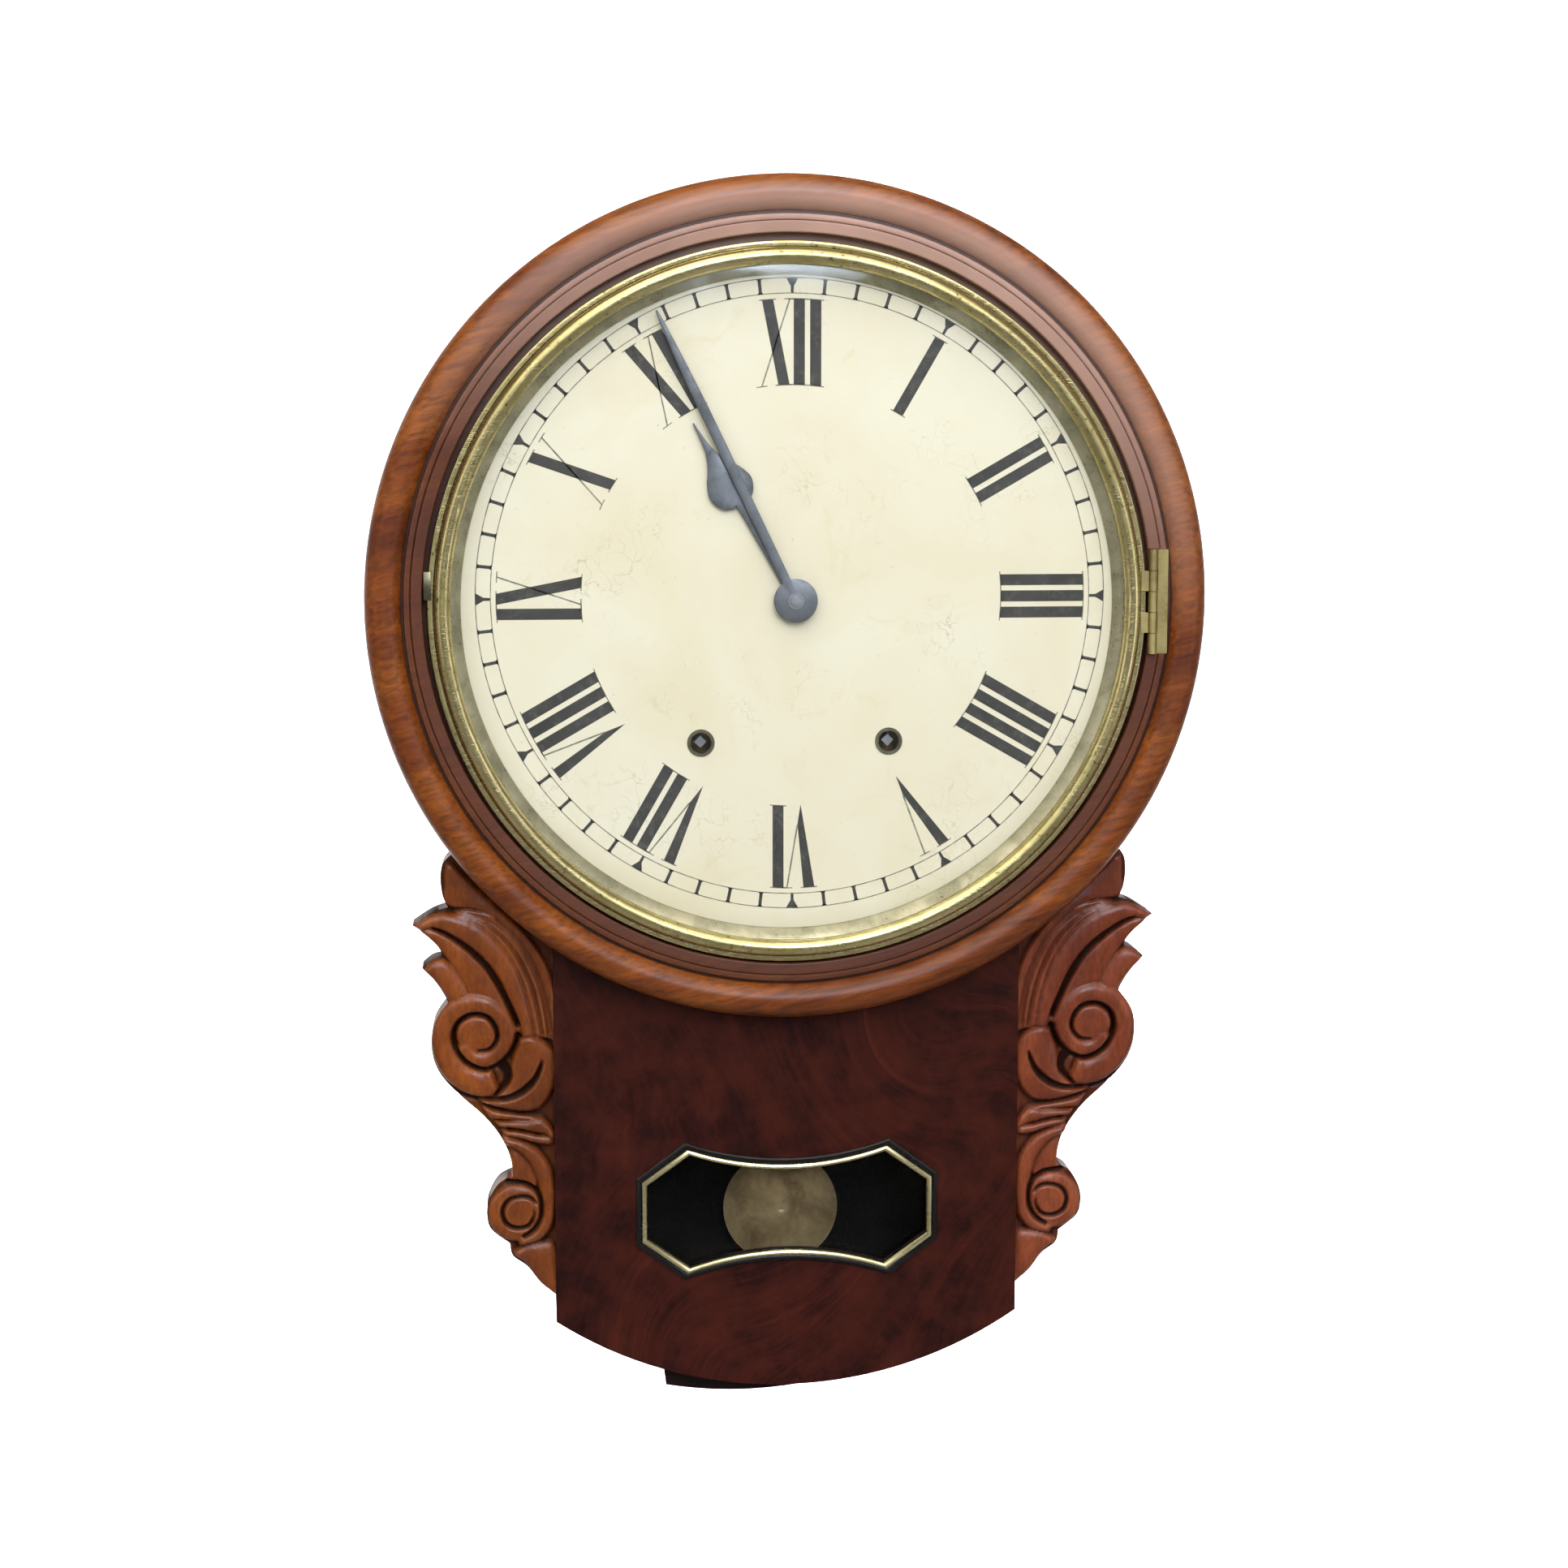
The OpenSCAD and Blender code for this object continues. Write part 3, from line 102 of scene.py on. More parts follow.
def vectorSums(operation, a, b=(0, 0, 0)):
    return nextNode("VectorMath", {0: a, 1: b}, operation=operation).outputs


def mixColour(factor, a, b, blend="MIX"):
    return nextNode("Mix", {0: factor, 6: a, 7: b}, data_type="RGBA", blend_type=blend).outputs[2]


# Lays a colour over another where a mask says so
def over(mask, strength, base, colour):
    return mixColour(times(mask, strength), base, srgb(colour))


def rangeMap(value, low, high, toLow=0.0, toHigh=1.0):
    inputs = {"Value": value, "From Min": low, "From Max": high, "To Min": toLow, "To Max": toHigh}
    return nextNode("MapRange", inputs).outputs[0]


def ramp(value, stops):
    made = nextNode("ValToRGB", {0: value})
    elements = made.color_ramp.elements
    while len(elements) < len(stops):
        elements.new(0.5)
    for element, (at, colour) in zip(elements, stops):
        element.position = at
        element.color = srgb(colour)
    return made.outputs[0]


def noiseTexture(vector, size, detail=3.0, rough=0.5, distortion=0.0, w=None):
    inputs = {"Vector": vector, "Scale": size, "Detail": detail, "Roughness": rough, "Distortion": distortion}
    if w is not None:
        inputs["W"] = w
    return nextNode("TexNoise", inputs, noise_dimensions="3D" if w is None else "4D").outputs[0]


def objectPlace(tree):
    return addNode(tree, "TexCoord").outputs["Object"]


def part(vector, index):
    return nextNode("SeparateXYZ", {"Vector": vector}).outputs[index]


def mapping(vector, size, turn=(0, 0, 0)):
    return nextNode("Mapping", {"Vector": vector, "Scale": size, "Rotation": turn}).outputs[0]


def newGroup(name, inputs, outputs):
    tree = bpy.data.node_groups.new(name, "ShaderNodeTree")
    for label, kind, value in inputs:
        socket = tree.interface.new_socket(label, in_out="INPUT", socket_type="NodeSocket" + kind)
        if value is not None:
            socket.default_value = value
    for label, kind in outputs:
        tree.interface.new_socket(label, in_out="OUTPUT", socket_type="NodeSocket" + kind)
    return tree, tree.nodes.new("NodeGroupInput").outputs, tree.nodes.new("NodeGroupOutput").inputs


def useGroup(tree, group, inputs={}):
    made = addNode(tree, "Group", node_tree=group)
    return fill(made, inputs).outputs


# Shared effects: each gives masks, values or places, and the shader stays in the material


# Way round the dial's middle, and how far out, for what is turned on a lathe
def makeRingPlaces():
    tree, given, out = newGroup("ringPlaces", [("Round", "Float", 0.012)], [("Vector", "Vector")])
    x, _, z = nextNode("SeparateXYZ", {"Vector": objectPlace(tree)}).outputs
    up = plus(z, hangerRise * scale)
    reach = sums("SQRT", plus(times(x, x), times(up, up)))
    share = sums("DIVIDE", given["Round"], sums("MAXIMUM", reach, scale))
    feed(out["Vector"], nextNode("CombineXYZ", {"X": times(x, share), "Y": times(up, share), "Z": reach}).outputs[0])
    return tree


def makeWoodGrain():
    tree, given, out = newGroup(
        "woodGrain",
        [("Vector", "Vector", None), ("W", "Float", 0.0), ("Broad", "Float", 22.0), ("Fine", "Float", 260.0)],
        [("Figure", "Float"), ("Streaks", "Float"), ("Pores", "Float"), ("Height", "Float")])
    figure = noiseTexture(given["Vector"], given["Broad"], 4, 0.55, 0.6, given["W"])
    streaks = noiseTexture(given["Vector"], given["Fine"], 5, 0.62, 0.2, given["W"])
    fine = noiseTexture(given["Vector"], times(given["Fine"], 4.2), 2, 0.5, 0.0, given["W"])
    pores = rangeMap(fine, 0.60, 0.70)
    height = sums("SUBTRACT", times(streaks, 0.6), times(pores, 0.5))
    for label, value in (("Figure", figure), ("Streaks", streaks), ("Pores", pores), ("Height", height)):
        feed(out[label], value)
    return tree


# Where the board's figure swirls: centre, reach and turn of each swirl
flameSwirls = [((0.083, 0, -0.345), 0.055, 1.9), ((-0.025, 0, -0.452), 0.075, -1.2), ((-0.05, 0, -0.30), 0.07, 0.7)]


def makeFlame():
    tree, given, out = newGroup("flamePlaces", [("Turn", "Float", 1.0)], [("Vector", "Vector")])
    current = objectPlace(tree)
    for centre, reach, angle in flameSwirls:
        away = vectorSums("SUBTRACT", current, centre)[0]
        flat = vectorSums("MULTIPLY", away, (1, 0, 1))[0]
        share = sums("DIVIDE", vectorSums("LENGTH", flat)["Value"], reach)
        fall = sums("EXPONENT", times(times(share, share), -1.0))
        turn = times(times(fall, angle), given["Turn"])
        inputs = {"Vector": current, "Center": centre, "Angle": turn}
        current = nextNode("VectorRotate", inputs, rotation_type="Y_AXIS").outputs[0]
    drift = nextNode("TexNoise", {"Vector": current, "Scale": 9.0, "Detail": 2.0}).outputs[1]
    shift = vectorSums("SUBTRACT", drift, (0.5, 0.5, 0.5))[0]
    push = nextNode("VectorMath", {0: shift, "Scale": 0.03}, operation="SCALE").outputs[0]
    feed(out["Vector"], vectorSums("ADD", current, push)[0])
    return tree


# Masks of sharp edges and of hollows; in the woods the hollows take painted shade, in the metals a tarnish in the
# hollows
def makeEdgeAndHollowMasks():
    tree, given, out = newGroup("edgeAndHollowMasks", [("Size", "Float", 60.0)], [("Edge", "Float"), ("Hollow", "Float")])
    sharp = addNode(tree, "NewGeometry").outputs["Pointiness"]
    broken = noiseTexture(objectPlace(tree), given["Size"], 4, 0.6)
    feed(out["Edge"], times(rangeMap(sharp, 0.52, 0.60), rangeMap(broken, 0.35, 0.65)))
    feed(out["Hollow"], rangeMap(sharp, 0.49, 0.42))
    return tree


def makeTarnish():
    tree, given, out = newGroup("tarnish", [("Size", "Float", 40.0)],
        [("Cloud", "Float"), ("Spots", "Float"), ("Scratches", "Float")])
    at = objectPlace(tree)
    cloud = rangeMap(noiseTexture(at, given["Size"], 5, 0.6, 0.4), 0.36, 0.66)
    speck = noiseTexture(at, times(given["Size"], 14.0), 2, 0.5)
    spots = times(rangeMap(speck, 0.62, 0.72), rangeMap(cloud, 0.2, 0.8, 0.3, 1.0))
    lines = noiseTexture(mapping(at, (1, 1, 14), (0.4, 0.9, 0.3)), 220, 3, 0.6)
    feed(out["Cloud"], cloud)
    feed(out["Spots"], spots)
    feed(out["Scratches"], rangeMap(lines, 0.58, 0.70))
    return tree


def makeDust():
    tree, given, out = newGroup("dust", [("Size", "Float", 90.0)], [("Dust", "Float")])
    up = part(addNode(tree, "NewGeometry").outputs["Normal"], 2)
    patch = noiseTexture(objectPlace(tree), given["Size"], 5, 0.7)
    feed(out["Dust"], times(rangeMap(up, 0.1, 0.95), rangeMap(patch, 0.4, 0.7)))
    return tree


ringPlaces = makeRingPlaces()
woodGrain = makeWoodGrain()
flamePlaces = makeFlame()
edgeAndHollowMasks = makeEdgeAndHollowMasks()
tarnish = makeTarnish()
dust = makeDust()


def newMaterial(name, settings):
    material = bpy.data.materials.new(name)
    material.use_nodes = True
    tree = material.node_tree
    shader = next(n for n in tree.nodes if n.type == "BSDF_PRINCIPLED")
    for label, value in settings.items():
        shader.inputs[label].default_value = value
    return material, tree, shader


def finishMaterial(shader, base, rough, height, strength, depth):
    normal = nextNode("Bump", {"Height": height, "Strength": strength, "Distance": depth}).outputs[0]
    fill(shader, {"Base Color": base, "Roughness": rough, "Normal": normal})


dustColour = "#a89c90"
ringBands = {"inner": (0.1735, 0.1700), "paintedSheenReach": (0.1865, 0.1780), "paintedSheenRise": (0.0020, 0.0112)}
# Depth of the backboard's front face, which takes painted shade
backboardFace = (-0.0080, -0.0085)


# Painted sheen: the top of the turned wood is lightened towards a pale colour, strongest on its inner half, in place of
# the lights' reflection
def addPaintedSheen(tree, base, look):
    place3 = useGroup(tree, ringPlaces)["Vector"]
    upward = vectorSums("DOT_PRODUCT", place3, look["paintedSheenWay"])["Value"]
    patchy = rangeMap(noiseTexture(objectPlace(tree), 26, 4, 0.6), 0.3, 0.7, 0.8, 1.0)
    rise = rangeMap(upward, *ringBands["paintedSheenRise"])
    haze = times(rise, rangeMap(part(place3, 2), *ringBands["paintedSheenReach"]))
    return over(times(haze, patchy), look["paintedSheen"], base, look["paintedSheenColour"])


def makeWood(name, look):
    material, tree, shader = newMaterial(name, {
        "Coat Weight": look["coat"], "Coat Roughness": look["coatRough"], "Specular IOR Level": look["gloss"]})
    at = useGroup(tree, flamePlaces)["Vector"] if look.get("flame") else objectPlace(tree)
    if look.get("tilt"):
        at = mapping(at, (1, 1, 1), (0, look["tilt"], 0))
    grain = useGroup(tree, woodGrain, {
        "Vector": mapping(at, look["way"]), "W": look.get("seed", 0.0), "Broad": look["broad"], "Fine": look["fine"]})
    base = ramp(grain["Figure"], look["colours"])
    streaks = rangeMap(grain["Streaks"], *look["contrast"])
    base = over(streaks, look["streaks"], base, look["streakColour"])
    base = over(grain["Pores"], look["pores"], base, look["poreColour"])
    if look.get("inner"):
        reach = part(useGroup(tree, ringPlaces)["Vector"], 2)
        base = mixColour(rangeMap(reach, *ringBands["inner"], 0.0, 0.8), base, srgb(look["inner"]))
    if look.get("paintedSheen"):
        base = addPaintedSheen(tree, base, look)
    edgeWearAndHighlight = useGroup(tree, edgeAndHollowMasks)
    # Pale edges: wear, and on the ears partly a painted highlight
    base = over(edgeWearAndHighlight["Edge"], look["edgeWearAndHighlight"], base, look["edgeWearAndHighlightColour"])
    # Painted shade: creases and hollows, and on the ears the carving's low places, are darkened
    deep = edgeWearAndHighlight["Hollow"]
    if look.get("carved"):
        cut = addNode(tree, "Attribute", attribute_name="hollowShade").outputs["Fac"]
        deep = sums("MAXIMUM", deep, cut)
        feed(shader.inputs["Coat Weight"], times(sums("SUBTRACT", 1.0, cut, clamp=True), look["coat"]))
    base = over(deep, look["hollowShade"], base, look["hollowShadeColour"])
    dirt = useGroup(tree, dust)["Dust"]
    base = over(dirt, 0.06, base, dustColour)
    # Painted shade: the backboard's front face, inside the case, is darkened to near black
    if look.get("inside"):
        depth = part(objectPlace(tree), 1)
        base = mixColour(rangeMap(depth, *backboardFace), base, srgb(look["inside"]))
    rough = plus(look["rough"], times(plus(grain["Streaks"], dirt), 0.12))
    finishMaterial(shader, base, rough, grain["Height"], look["bump"], 0.0004)
    return material


def makeMetal(name, look):
    material, tree, shader = newMaterial(name, {"Metallic": look["metal"]})
    marks = useGroup(tree, tarnish, {"Size": look["size"]})
    base = over(marks["Cloud"], look["cloud"], srgb(look["colour"]), look["dull"])
    base = over(marks["Spots"], look["spots"], base, look["spotColour"])
    edgeWearAndHighlight = useGroup(tree, edgeAndHollowMasks)
    base = over(edgeWearAndHighlight["Edge"], 0.5, base, look["bright"])
    base = over(edgeWearAndHighlight["Hollow"], 0.6, base, look["spotColour"])
    rough = plus(look["rough"], times(marks["Cloud"], look["roughVary"]))
    rough = plus(rough, times(marks["Scratches"], 0.08), clamp=True)
    uneven = noiseTexture(objectPlace(tree), 160, 4, 0.6)
    height = sums("SUBTRACT", uneven, times(marks["Scratches"], 0.3))
    finishMaterial(shader, base, rough, height, look["bump"], 0.0004)
    return material


woodUsual = dict(way=(1, 1, 1), coat=0.1, coatRough=0.3, rough=0.5, gloss=0.1, contrast=(0.42, 0.66), streaks=0.5, pores=0.3,
                 bump=0.08, edgeWearAndHighlight=0.3, hollowShade=0.5)
woodLooks = {
    "surroundWood": dict(way=(0.1, 1, 1), tilt=0.26, broad=34, fine=480, coat=0.55, coatRough=0.36, gloss=0.06,
        colours=[(0.3, "#642c0b"), (0.44, "#824010"), (0.58, "#9a5418"), (0.74, "#70370e")], contrast=(0.38, 0.74),
        streaks=0.85, streakColour="#351404", poreColour="#2e1508", inner="#4e2b1e", bump=0.05, edgeWearAndHighlight=0.25,
        edgeWearAndHighlightColour="#a86c40", hollowShade=0.9, hollowShadeColour="#160906",
        # Painted sheen on the top of the ring
        paintedSheen=0.72, paintedSheenColour="#c8a494", paintedSheenWay=(0.25, 0.968, 0)),
    "trunkWood": dict(way=(1, 1, 0.055), flame=True, broad=46, fine=560, coat=0.15, coatRough=0.2, gloss=0.06,
        colours=[(0.32, "#1c0907"), (0.46, "#2b0f0b"), (0.58, "#3a150f"), (0.72, "#522317")], contrast=(0.36, 0.8),
        streaks=0.8, streakColour="#150403", pores=0.5, poreColour="#100404", bump=0.05, edgeWearAndHighlightColour="#5c2618",
        hollowShadeColour="#0c0404"),
    # The ears' pale edges are partly wear and partly a painted highlight on the carving's raised edges; their hollow
    # colour is painted shade
    "earWood": dict(way=(1, 1, 0.3), broad=40, fine=560, coat=0.6, gloss=0.08,
        colours=[(0.3, "#5e2a08"), (0.5, "#7c3c0e"), (0.68, "#944c16"), (0.82, "#6a300a")], contrast=(0.4, 0.74),
        streaks=0.6, streakColour="#401a06", pores=0.4, poreColour="#2c1204", bump=0.1, edgeWearAndHighlight=0.6, edgeWearAndHighlightColour="#b98a62",
        hollowShade=0.96, hollowShadeColour="#120603", carved=True),
    "caseWood": dict(way=(1, 1, 0.14), broad=30, fine=700, coatRough=0.45, rough=0.6, gloss=0.08,
        colours=[(0.3, "#240c07"), (0.5, "#35140c"), (0.7, "#451d12")], streakColour="#1a0805", pores=0.4,
        poreColour="#120503", bump=0.1, edgeWearAndHighlight=0.5, edgeWearAndHighlightColour="#6c3a20", hollowShadeColour="#0c0403"),
    # The backboard's inside colour is painted shade for the dark inside of the case
    "backWood": dict(way=(1, 1, 0.12), broad=28, fine=500, coat=0, coatRough=0.5, rough=0.72, gloss=0.2,
        colours=[(0.3, "#4a3020"), (0.5, "#5e4029"), (0.7, "#6e4e34")], inside="#0b0605", streakColour="#382214",
        poreColour="#28180c", bump=0.2, edgeWearAndHighlight=0.4, edgeWearAndHighlightColour="#806040", hollowShade=0.6, hollowShadeColour="#1c100a"),
    "blackWood": dict(broad=60, fine=500, coat=0.4, coatRough=0.25, rough=0.45,
        colours=[(0.3, "#080504"), (0.6, "#0d0908"), (0.8, "#130d0b")], streaks=0.3, streakColour="#050302", pores=0.2,
        poreColour="#030201", bump=0.06, edgeWearAndHighlightColour="#2a1d16", hollowShade=0.3, hollowShadeColour="#040202"),
    "doorWood": dict(way=(0.3, 1, 1), broad=40, fine=500, coatRough=0.35,
        colours=[(0.3, "#0c0403"), (0.5, "#120604"), (0.75, "#1c0b07")],
        streaks=0.4, streakColour="#070302", poreColour="#050201", edgeWearAndHighlightColour="#2c160e", hollowShade=0.4, hollowShadeColour="#060303"),
}

metalUsual = dict(metal=1, cloud=0.8, spots=0.4, roughVary=0.15, bump=0.12)
metalLooks = {
    "bezelBrass": dict(size=34, colour="#cfc18c", dull="#a09560", spots=0.8, spotColour="#4e4424",
        bright="#e8deb4", rough=0.2, roughVary=0.14, bump=0.2),
    "sightBrass": dict(size=60, colour="#b8b296", dull="#8e8a70", cloud=0.9, spots=0.8, spotColour="#5a4e30",
        bright="#ccc6a6", rough=0.42, roughVary=0.2),
    "hingeBrass": dict(size=80, colour="#a09264", dull="#776b44", spots=0.7, spotColour="#403a20",
        bright="#cbbc80", rough=0.42, roughVary=0.2, bump=0.2),
    "windowBrass": dict(size=50, colour="#d8cb98", dull="#a0946a", cloud=0.7, spots=0.3, spotColour="#4c4220",
        bright="#efe6bc", rough=0.24, roughVary=0.12, bump=0.03),
    "bobBrass": dict(size=44, colour="#dcc08a", dull="#80663e", cloud=0.9, spots=0.5, spotColour="#5c4a2c",
        bright="#ead8ac", rough=0.5, bump=0.15, metal=0.6),
    "plateBrass": dict(size=50, colour="#c6a450", dull="#94783a", cloud=0.6, spotColour="#54431e", bright="#e0c274",
        rough=0.3),
    "steel": dict(size=60, colour="#a8aaac", dull="#7c7d7e", cloud=0.6, spotColour="#4c423c", bright="#cacccd", rough=0.28,
        roughVary=0.18),
    "handSteel": dict(size=90, colour="#7a7f84", dull="#5c6064", spots=0.6, spotColour="#3a3938",
        bright="#9a9ea4", rough=0.42, roughVary=0.18, bump=0.1),
    "springSteel": dict(size=60, colour="#5d6a82", dull="#48505f", cloud=0.6, spotColour="#2c2f36", bright="#8590a6",
        rough=0.3),
    "iron": dict(size=70, colour="#3a3a3a", dull="#2a2928", spots=0.6, spotColour="#3e2a20", bright="#5a5a5a", rough=0.6,
        roughVary=0.2, bump=0.4),
    "ferruleAndShadedTabBrass": dict(size=120, colour="#6e6a52", dull="#4c4936", spots=0.7, spotColour="#24211a",
        bright="#98937a", rough=0.35, roughVary=0.2, bump=0.15),
}


dialLook = {
    "paint": "#ebe7d0", "aged": "#e4dcbb", "stain": "#d9c79a", "fleck": "#9c8a5e", "crack": "#a08c62", "rim": "#cfc9a8",
    "ink": "#33322f", "inkWorn": "#434240", "inkBare": "#7c796c", "hair": "#6d6b60", "hairBare": "#a9a58f",
}


def makeDialPaint():
    material, tree, shader = newMaterial("dialPaint", {"Specular IOR Level": 0.4})
    at = objectPlace(tree)
    aged = rangeMap(noiseTexture(at, 12, 4, 0.6, 0.5), 0.35, 0.7)
    base = mixColour(aged, srgb(dialLook["paint"]), srgb(dialLook["aged"]))
    stain = rangeMap(noiseTexture(at, 38, 5, 0.65, 1.2), 0.60, 0.74)
    base = over(stain, 0.35, base, dialLook["stain"])
    fleck = rangeMap(noiseTexture(at, 420, 3, 0.6), 0.69, 0.74)
    base = over(fleck, 0.35, base, dialLook["fleck"])
    warp = nextNode("TexNoise", {"Vector": at, "Scale": 60.0, "Detail": 3.0}).outputs[1]
    bent = mixColour(0.04, at, warp, "ADD")
    crack = nextNode("TexVoronoi", {"Vector": bent, "Scale": 85.0}, feature="DISTANCE_TO_EDGE").outputs["Distance"]
    patch = rangeMap(noiseTexture(at, 20, 3, 0.6), 0.52, 0.66)
    line = times(rangeMap(crack, 0.028, 0.008), patch)
    base = over(line, 0.32, base, dialLook["crack"])
    # Painted shade: the dial darkens towards its rim, under the sloping ring
    reach = part(useGroup(tree, ringPlaces)["Vector"], 2)
    base = mixColour(rangeMap(reach, 0.140, 0.149, 0.0, 0.4), base, srgb(dialLook["rim"]))
    height = sums("SUBTRACT", noiseTexture(at, 90, 4, 0.6), line)
    finishMaterial(shader, base, rangeMap(stain, 0, 1, 0.42, 0.6), height, 0.06, 0.0003)
    return material


def makeInk():
    material, tree, shader = newMaterial("dialInk", {"Specular IOR Level": 0.35})
    at = objectPlace(tree)
    worn = rangeMap(noiseTexture(at, 260, 5, 0.7), 0.52, 0.72)
    uneven = rangeMap(noiseTexture(at, 30, 3, 0.6), 0.3, 0.7)
    base = mixColour(uneven, srgb(dialLook["ink"]), srgb(dialLook["inkWorn"]))
    base = over(worn, 0.35, base, dialLook["inkBare"])
    finishMaterial(shader, base, rangeMap(worn, 0, 1, 0.5, 0.7), worn, 0.1, 0.0002)
    return material


def makeHairInk():
    material, tree, shader = newMaterial("hairInk", {"Specular IOR Level": 0.3})
    worn = rangeMap(noiseTexture(objectPlace(tree), 300, 4, 0.7), 0.4, 0.66)
    feed(shader.inputs["Base Color"], mixColour(worn, srgb(dialLook["hair"]), srgb(dialLook["hairBare"])))
    feed(shader.inputs["Roughness"], rangeMap(worn, 0, 1, 0.5, 0.7))
    return material


# The glass is a thin mirror over what lies behind it: its share grows towards a glancing view
def makeGlass(name, tint, haze, mirror):
    material, tree, shader = newMaterial(name, {"Metallic": 1.0})
    at = objectPlace(tree)
    smear = rangeMap(noiseTexture(at, 26, 5, 0.65, 0.8), 0.45, 0.8)
    facing = addNode(tree, "LayerWeight", {"Blend": 0.5}).outputs["Facing"]
    share = plus(0.04, times(sums("POWER", facing, 5.0), 0.9))
    alpha = plus(haze, times(share, mirror))
    feed(shader.inputs["Alpha"], plus(alpha, times(smear, haze), clamp=True))
    base = mixColour(smear, srgb(tint), srgb("#f2f4f0"))
    finishMaterial(shader, base, rangeMap(smear, 0, 1, 0.03, 0.12), noiseTexture(at, 7, 2, 0.4), 0.05, 0.001)
    return material


# The right ear's pale edge colour is likewise partly a painted highlight
woodLooks["earWoodRight"] = dict(woodLooks["earWood"], seed=3.0, edgeWearAndHighlightColour="#a06a50", colours=[
    (0.30, "#5e2611"), (0.50, "#7c381c"), (0.68, "#964c2a"), (0.82, "#682c13")])

materials = {name: makeWood(name, woodUsual | look) for name, look in woodLooks.items()}
materials.update({name: makeMetal(name, metalUsual | look) for name, look in metalLooks.items()})
materials["dialPaint"] = makeDialPaint()
materials["dialInk"] = makeInk()
materials["hairInk"] = makeHairInk()
materials["bezelGlass"] = makeGlass("bezelGlass", "#e4ecea", 0.006, 0.75)
materials["windowGlass"] = makeGlass("windowGlass", "#c4ccc8", 0.002, 0.15)
print("materials:", len(materials))

nodeMaterials = {
    "backWood": ["backboard", "movement_blocks", "mask_board"],
    "caseWood": ["case_side_left", "case_side_right", "case_top", "foot_rail_left", "foot_rail_right"],
    "trunkWood": ["trunk_front"],
    "doorWood": ["foot_door"],
    "surroundWood": ["surround"],
    "earWood": ["ear_left", "ear_right"],
    "blackWood": ["window_border", "glazing_blocks"],
    "bezelBrass": ["bezel_ring"],
    "sightBrass": ["sight_ring"],
    "hingeBrass": ["hinge_case_leaf", "hinge_bezel_leaf", "hinge_pin", "door_pins", "door_button", "door_button_screw",
                   "hanger_plate", "hanger_screws", "dial_screws"],
    "windowBrass": ["window_frame"],
    "bobBrass": ["pendulum_bob", "pendulum_rod", "rating_nut"],
    "steel": ["movement_screws", "centre_arbor", "hand_nut", "time_winding_arbor", "strike_winding_arbor", "anchor",
              "hammer"],
    "handSteel": ["hour_hand", "minute_hand"],
    "springSteel": ["mainsprings", "gong"],
    "iron": ["gong_stand"],
    "ferruleAndShadedTabBrass": ["ferrules"],
    "dialPaint": ["dial"],
    "bezelGlass": ["bezel_glass"],
    "windowGlass": ["window_glass"],
}
# Every other node is a brass piece of the movement
named = {member: look for look, members in nodeMaterials.items() for member in members}
for member, node in nodes.items():
    node.data.materials.clear()
    node.data.materials.append(materials[named.get(member, "plateBrass")])


def addPiece(name, points, faces, body, material, smooth=40, stands=None, fills=()):
    mesh = bpy.data.meshes.new(name)
    mesh.from_pydata([place(*p) for p in points], [], faces)
    mesh.update()
    shape = bmesh.new()
    shape.from_mesh(mesh)
    shape.verts.ensure_lookup_table()
    for loops in fills:
        rims = [shape.edges.get((shape.verts[a], shape.verts[b]))
                for loop in loops for a, b in zip(loop, loop[1:] + loop[:1])]
        bmesh.ops.triangle_fill(shape, use_beauty=True, edges=rims)
    bmesh.ops.remove_doubles(shape, verts=shape.verts, dist=1e-7)
    bmesh.ops.recalc_face_normals(shape, faces=shape.faces)
    shape.to_mesh(mesh)
    shape.free()
    finishMesh(mesh, smooth)
    piece = bpy.data.objects.new(name, mesh)
    bpy.context.scene.collection.objects.link(piece)
    mesh.materials.append(materials[material])
    if stands:
        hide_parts(*stands)
    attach(piece, body)
    return piece


def finishMesh(mesh, smooth):
    mesh.polygons.foreach_set("use_smooth", [smooth > 0] * len(mesh.polygons))
    if smooth:
        mesh.set_sharp_from_angle(angle=math.radians(smooth))


def cutAway(piece, blocks, smooth=40):
    cutters = []
    for low, high in blocks:
        shape = bmesh.new()
        bmesh.ops.create_cube(shape, size=1)
        for v in shape.verts:
            v.co = place(*[low[i] if c < 0 else high[i] for i, c in enumerate((v.co.x, v.co.z, -v.co.y))])
        mesh = bpy.data.meshes.new("cutter")
        shape.to_mesh(mesh)
        shape.free()
        cutters.append(bpy.data.objects.new("cutter", mesh))
        bpy.context.scene.collection.objects.link(cutters[-1])
    for cutter in cutters:
        modifier = piece.modifiers.new("cut", "BOOLEAN")
        modifier.object, modifier.operation, modifier.solver = cutter, "DIFFERENCE", "EXACT"
    made = bpy.data.meshes.new_from_object(piece.evaluated_get(bpy.context.evaluated_depsgraph_get()))
    piece.modifiers.clear()
    piece.data = made
    finishMesh(made, smooth)
    for cutter in cutters:
        bpy.data.objects.remove(cutter)


# Faces between rows of points that go round, row after row
def ringFaces(count, rows, closed=False):
    faces = []
    for row in range(rows if closed else rows - 1):
        here, there = row * count, (row + 1) % rows * count
        for i in range(count):
            j = (i + 1) % count
            faces.append((here + i, here + j, there + j, there + i))
    return faces


def lathe(profile, segments, centre=(0, 0), tweak=None):
    points = []
    for k in range(segments):
        a = 2 * math.pi * k / segments
        for i, (r, t) in enumerate(profile):
            if tweak:
                r, t = tweak(i, r, t, a)
            points.append((centre[0] + r * math.cos(a), centre[1] + r * math.sin(a), t))
    return points, ringFaces(len(profile), segments, True)


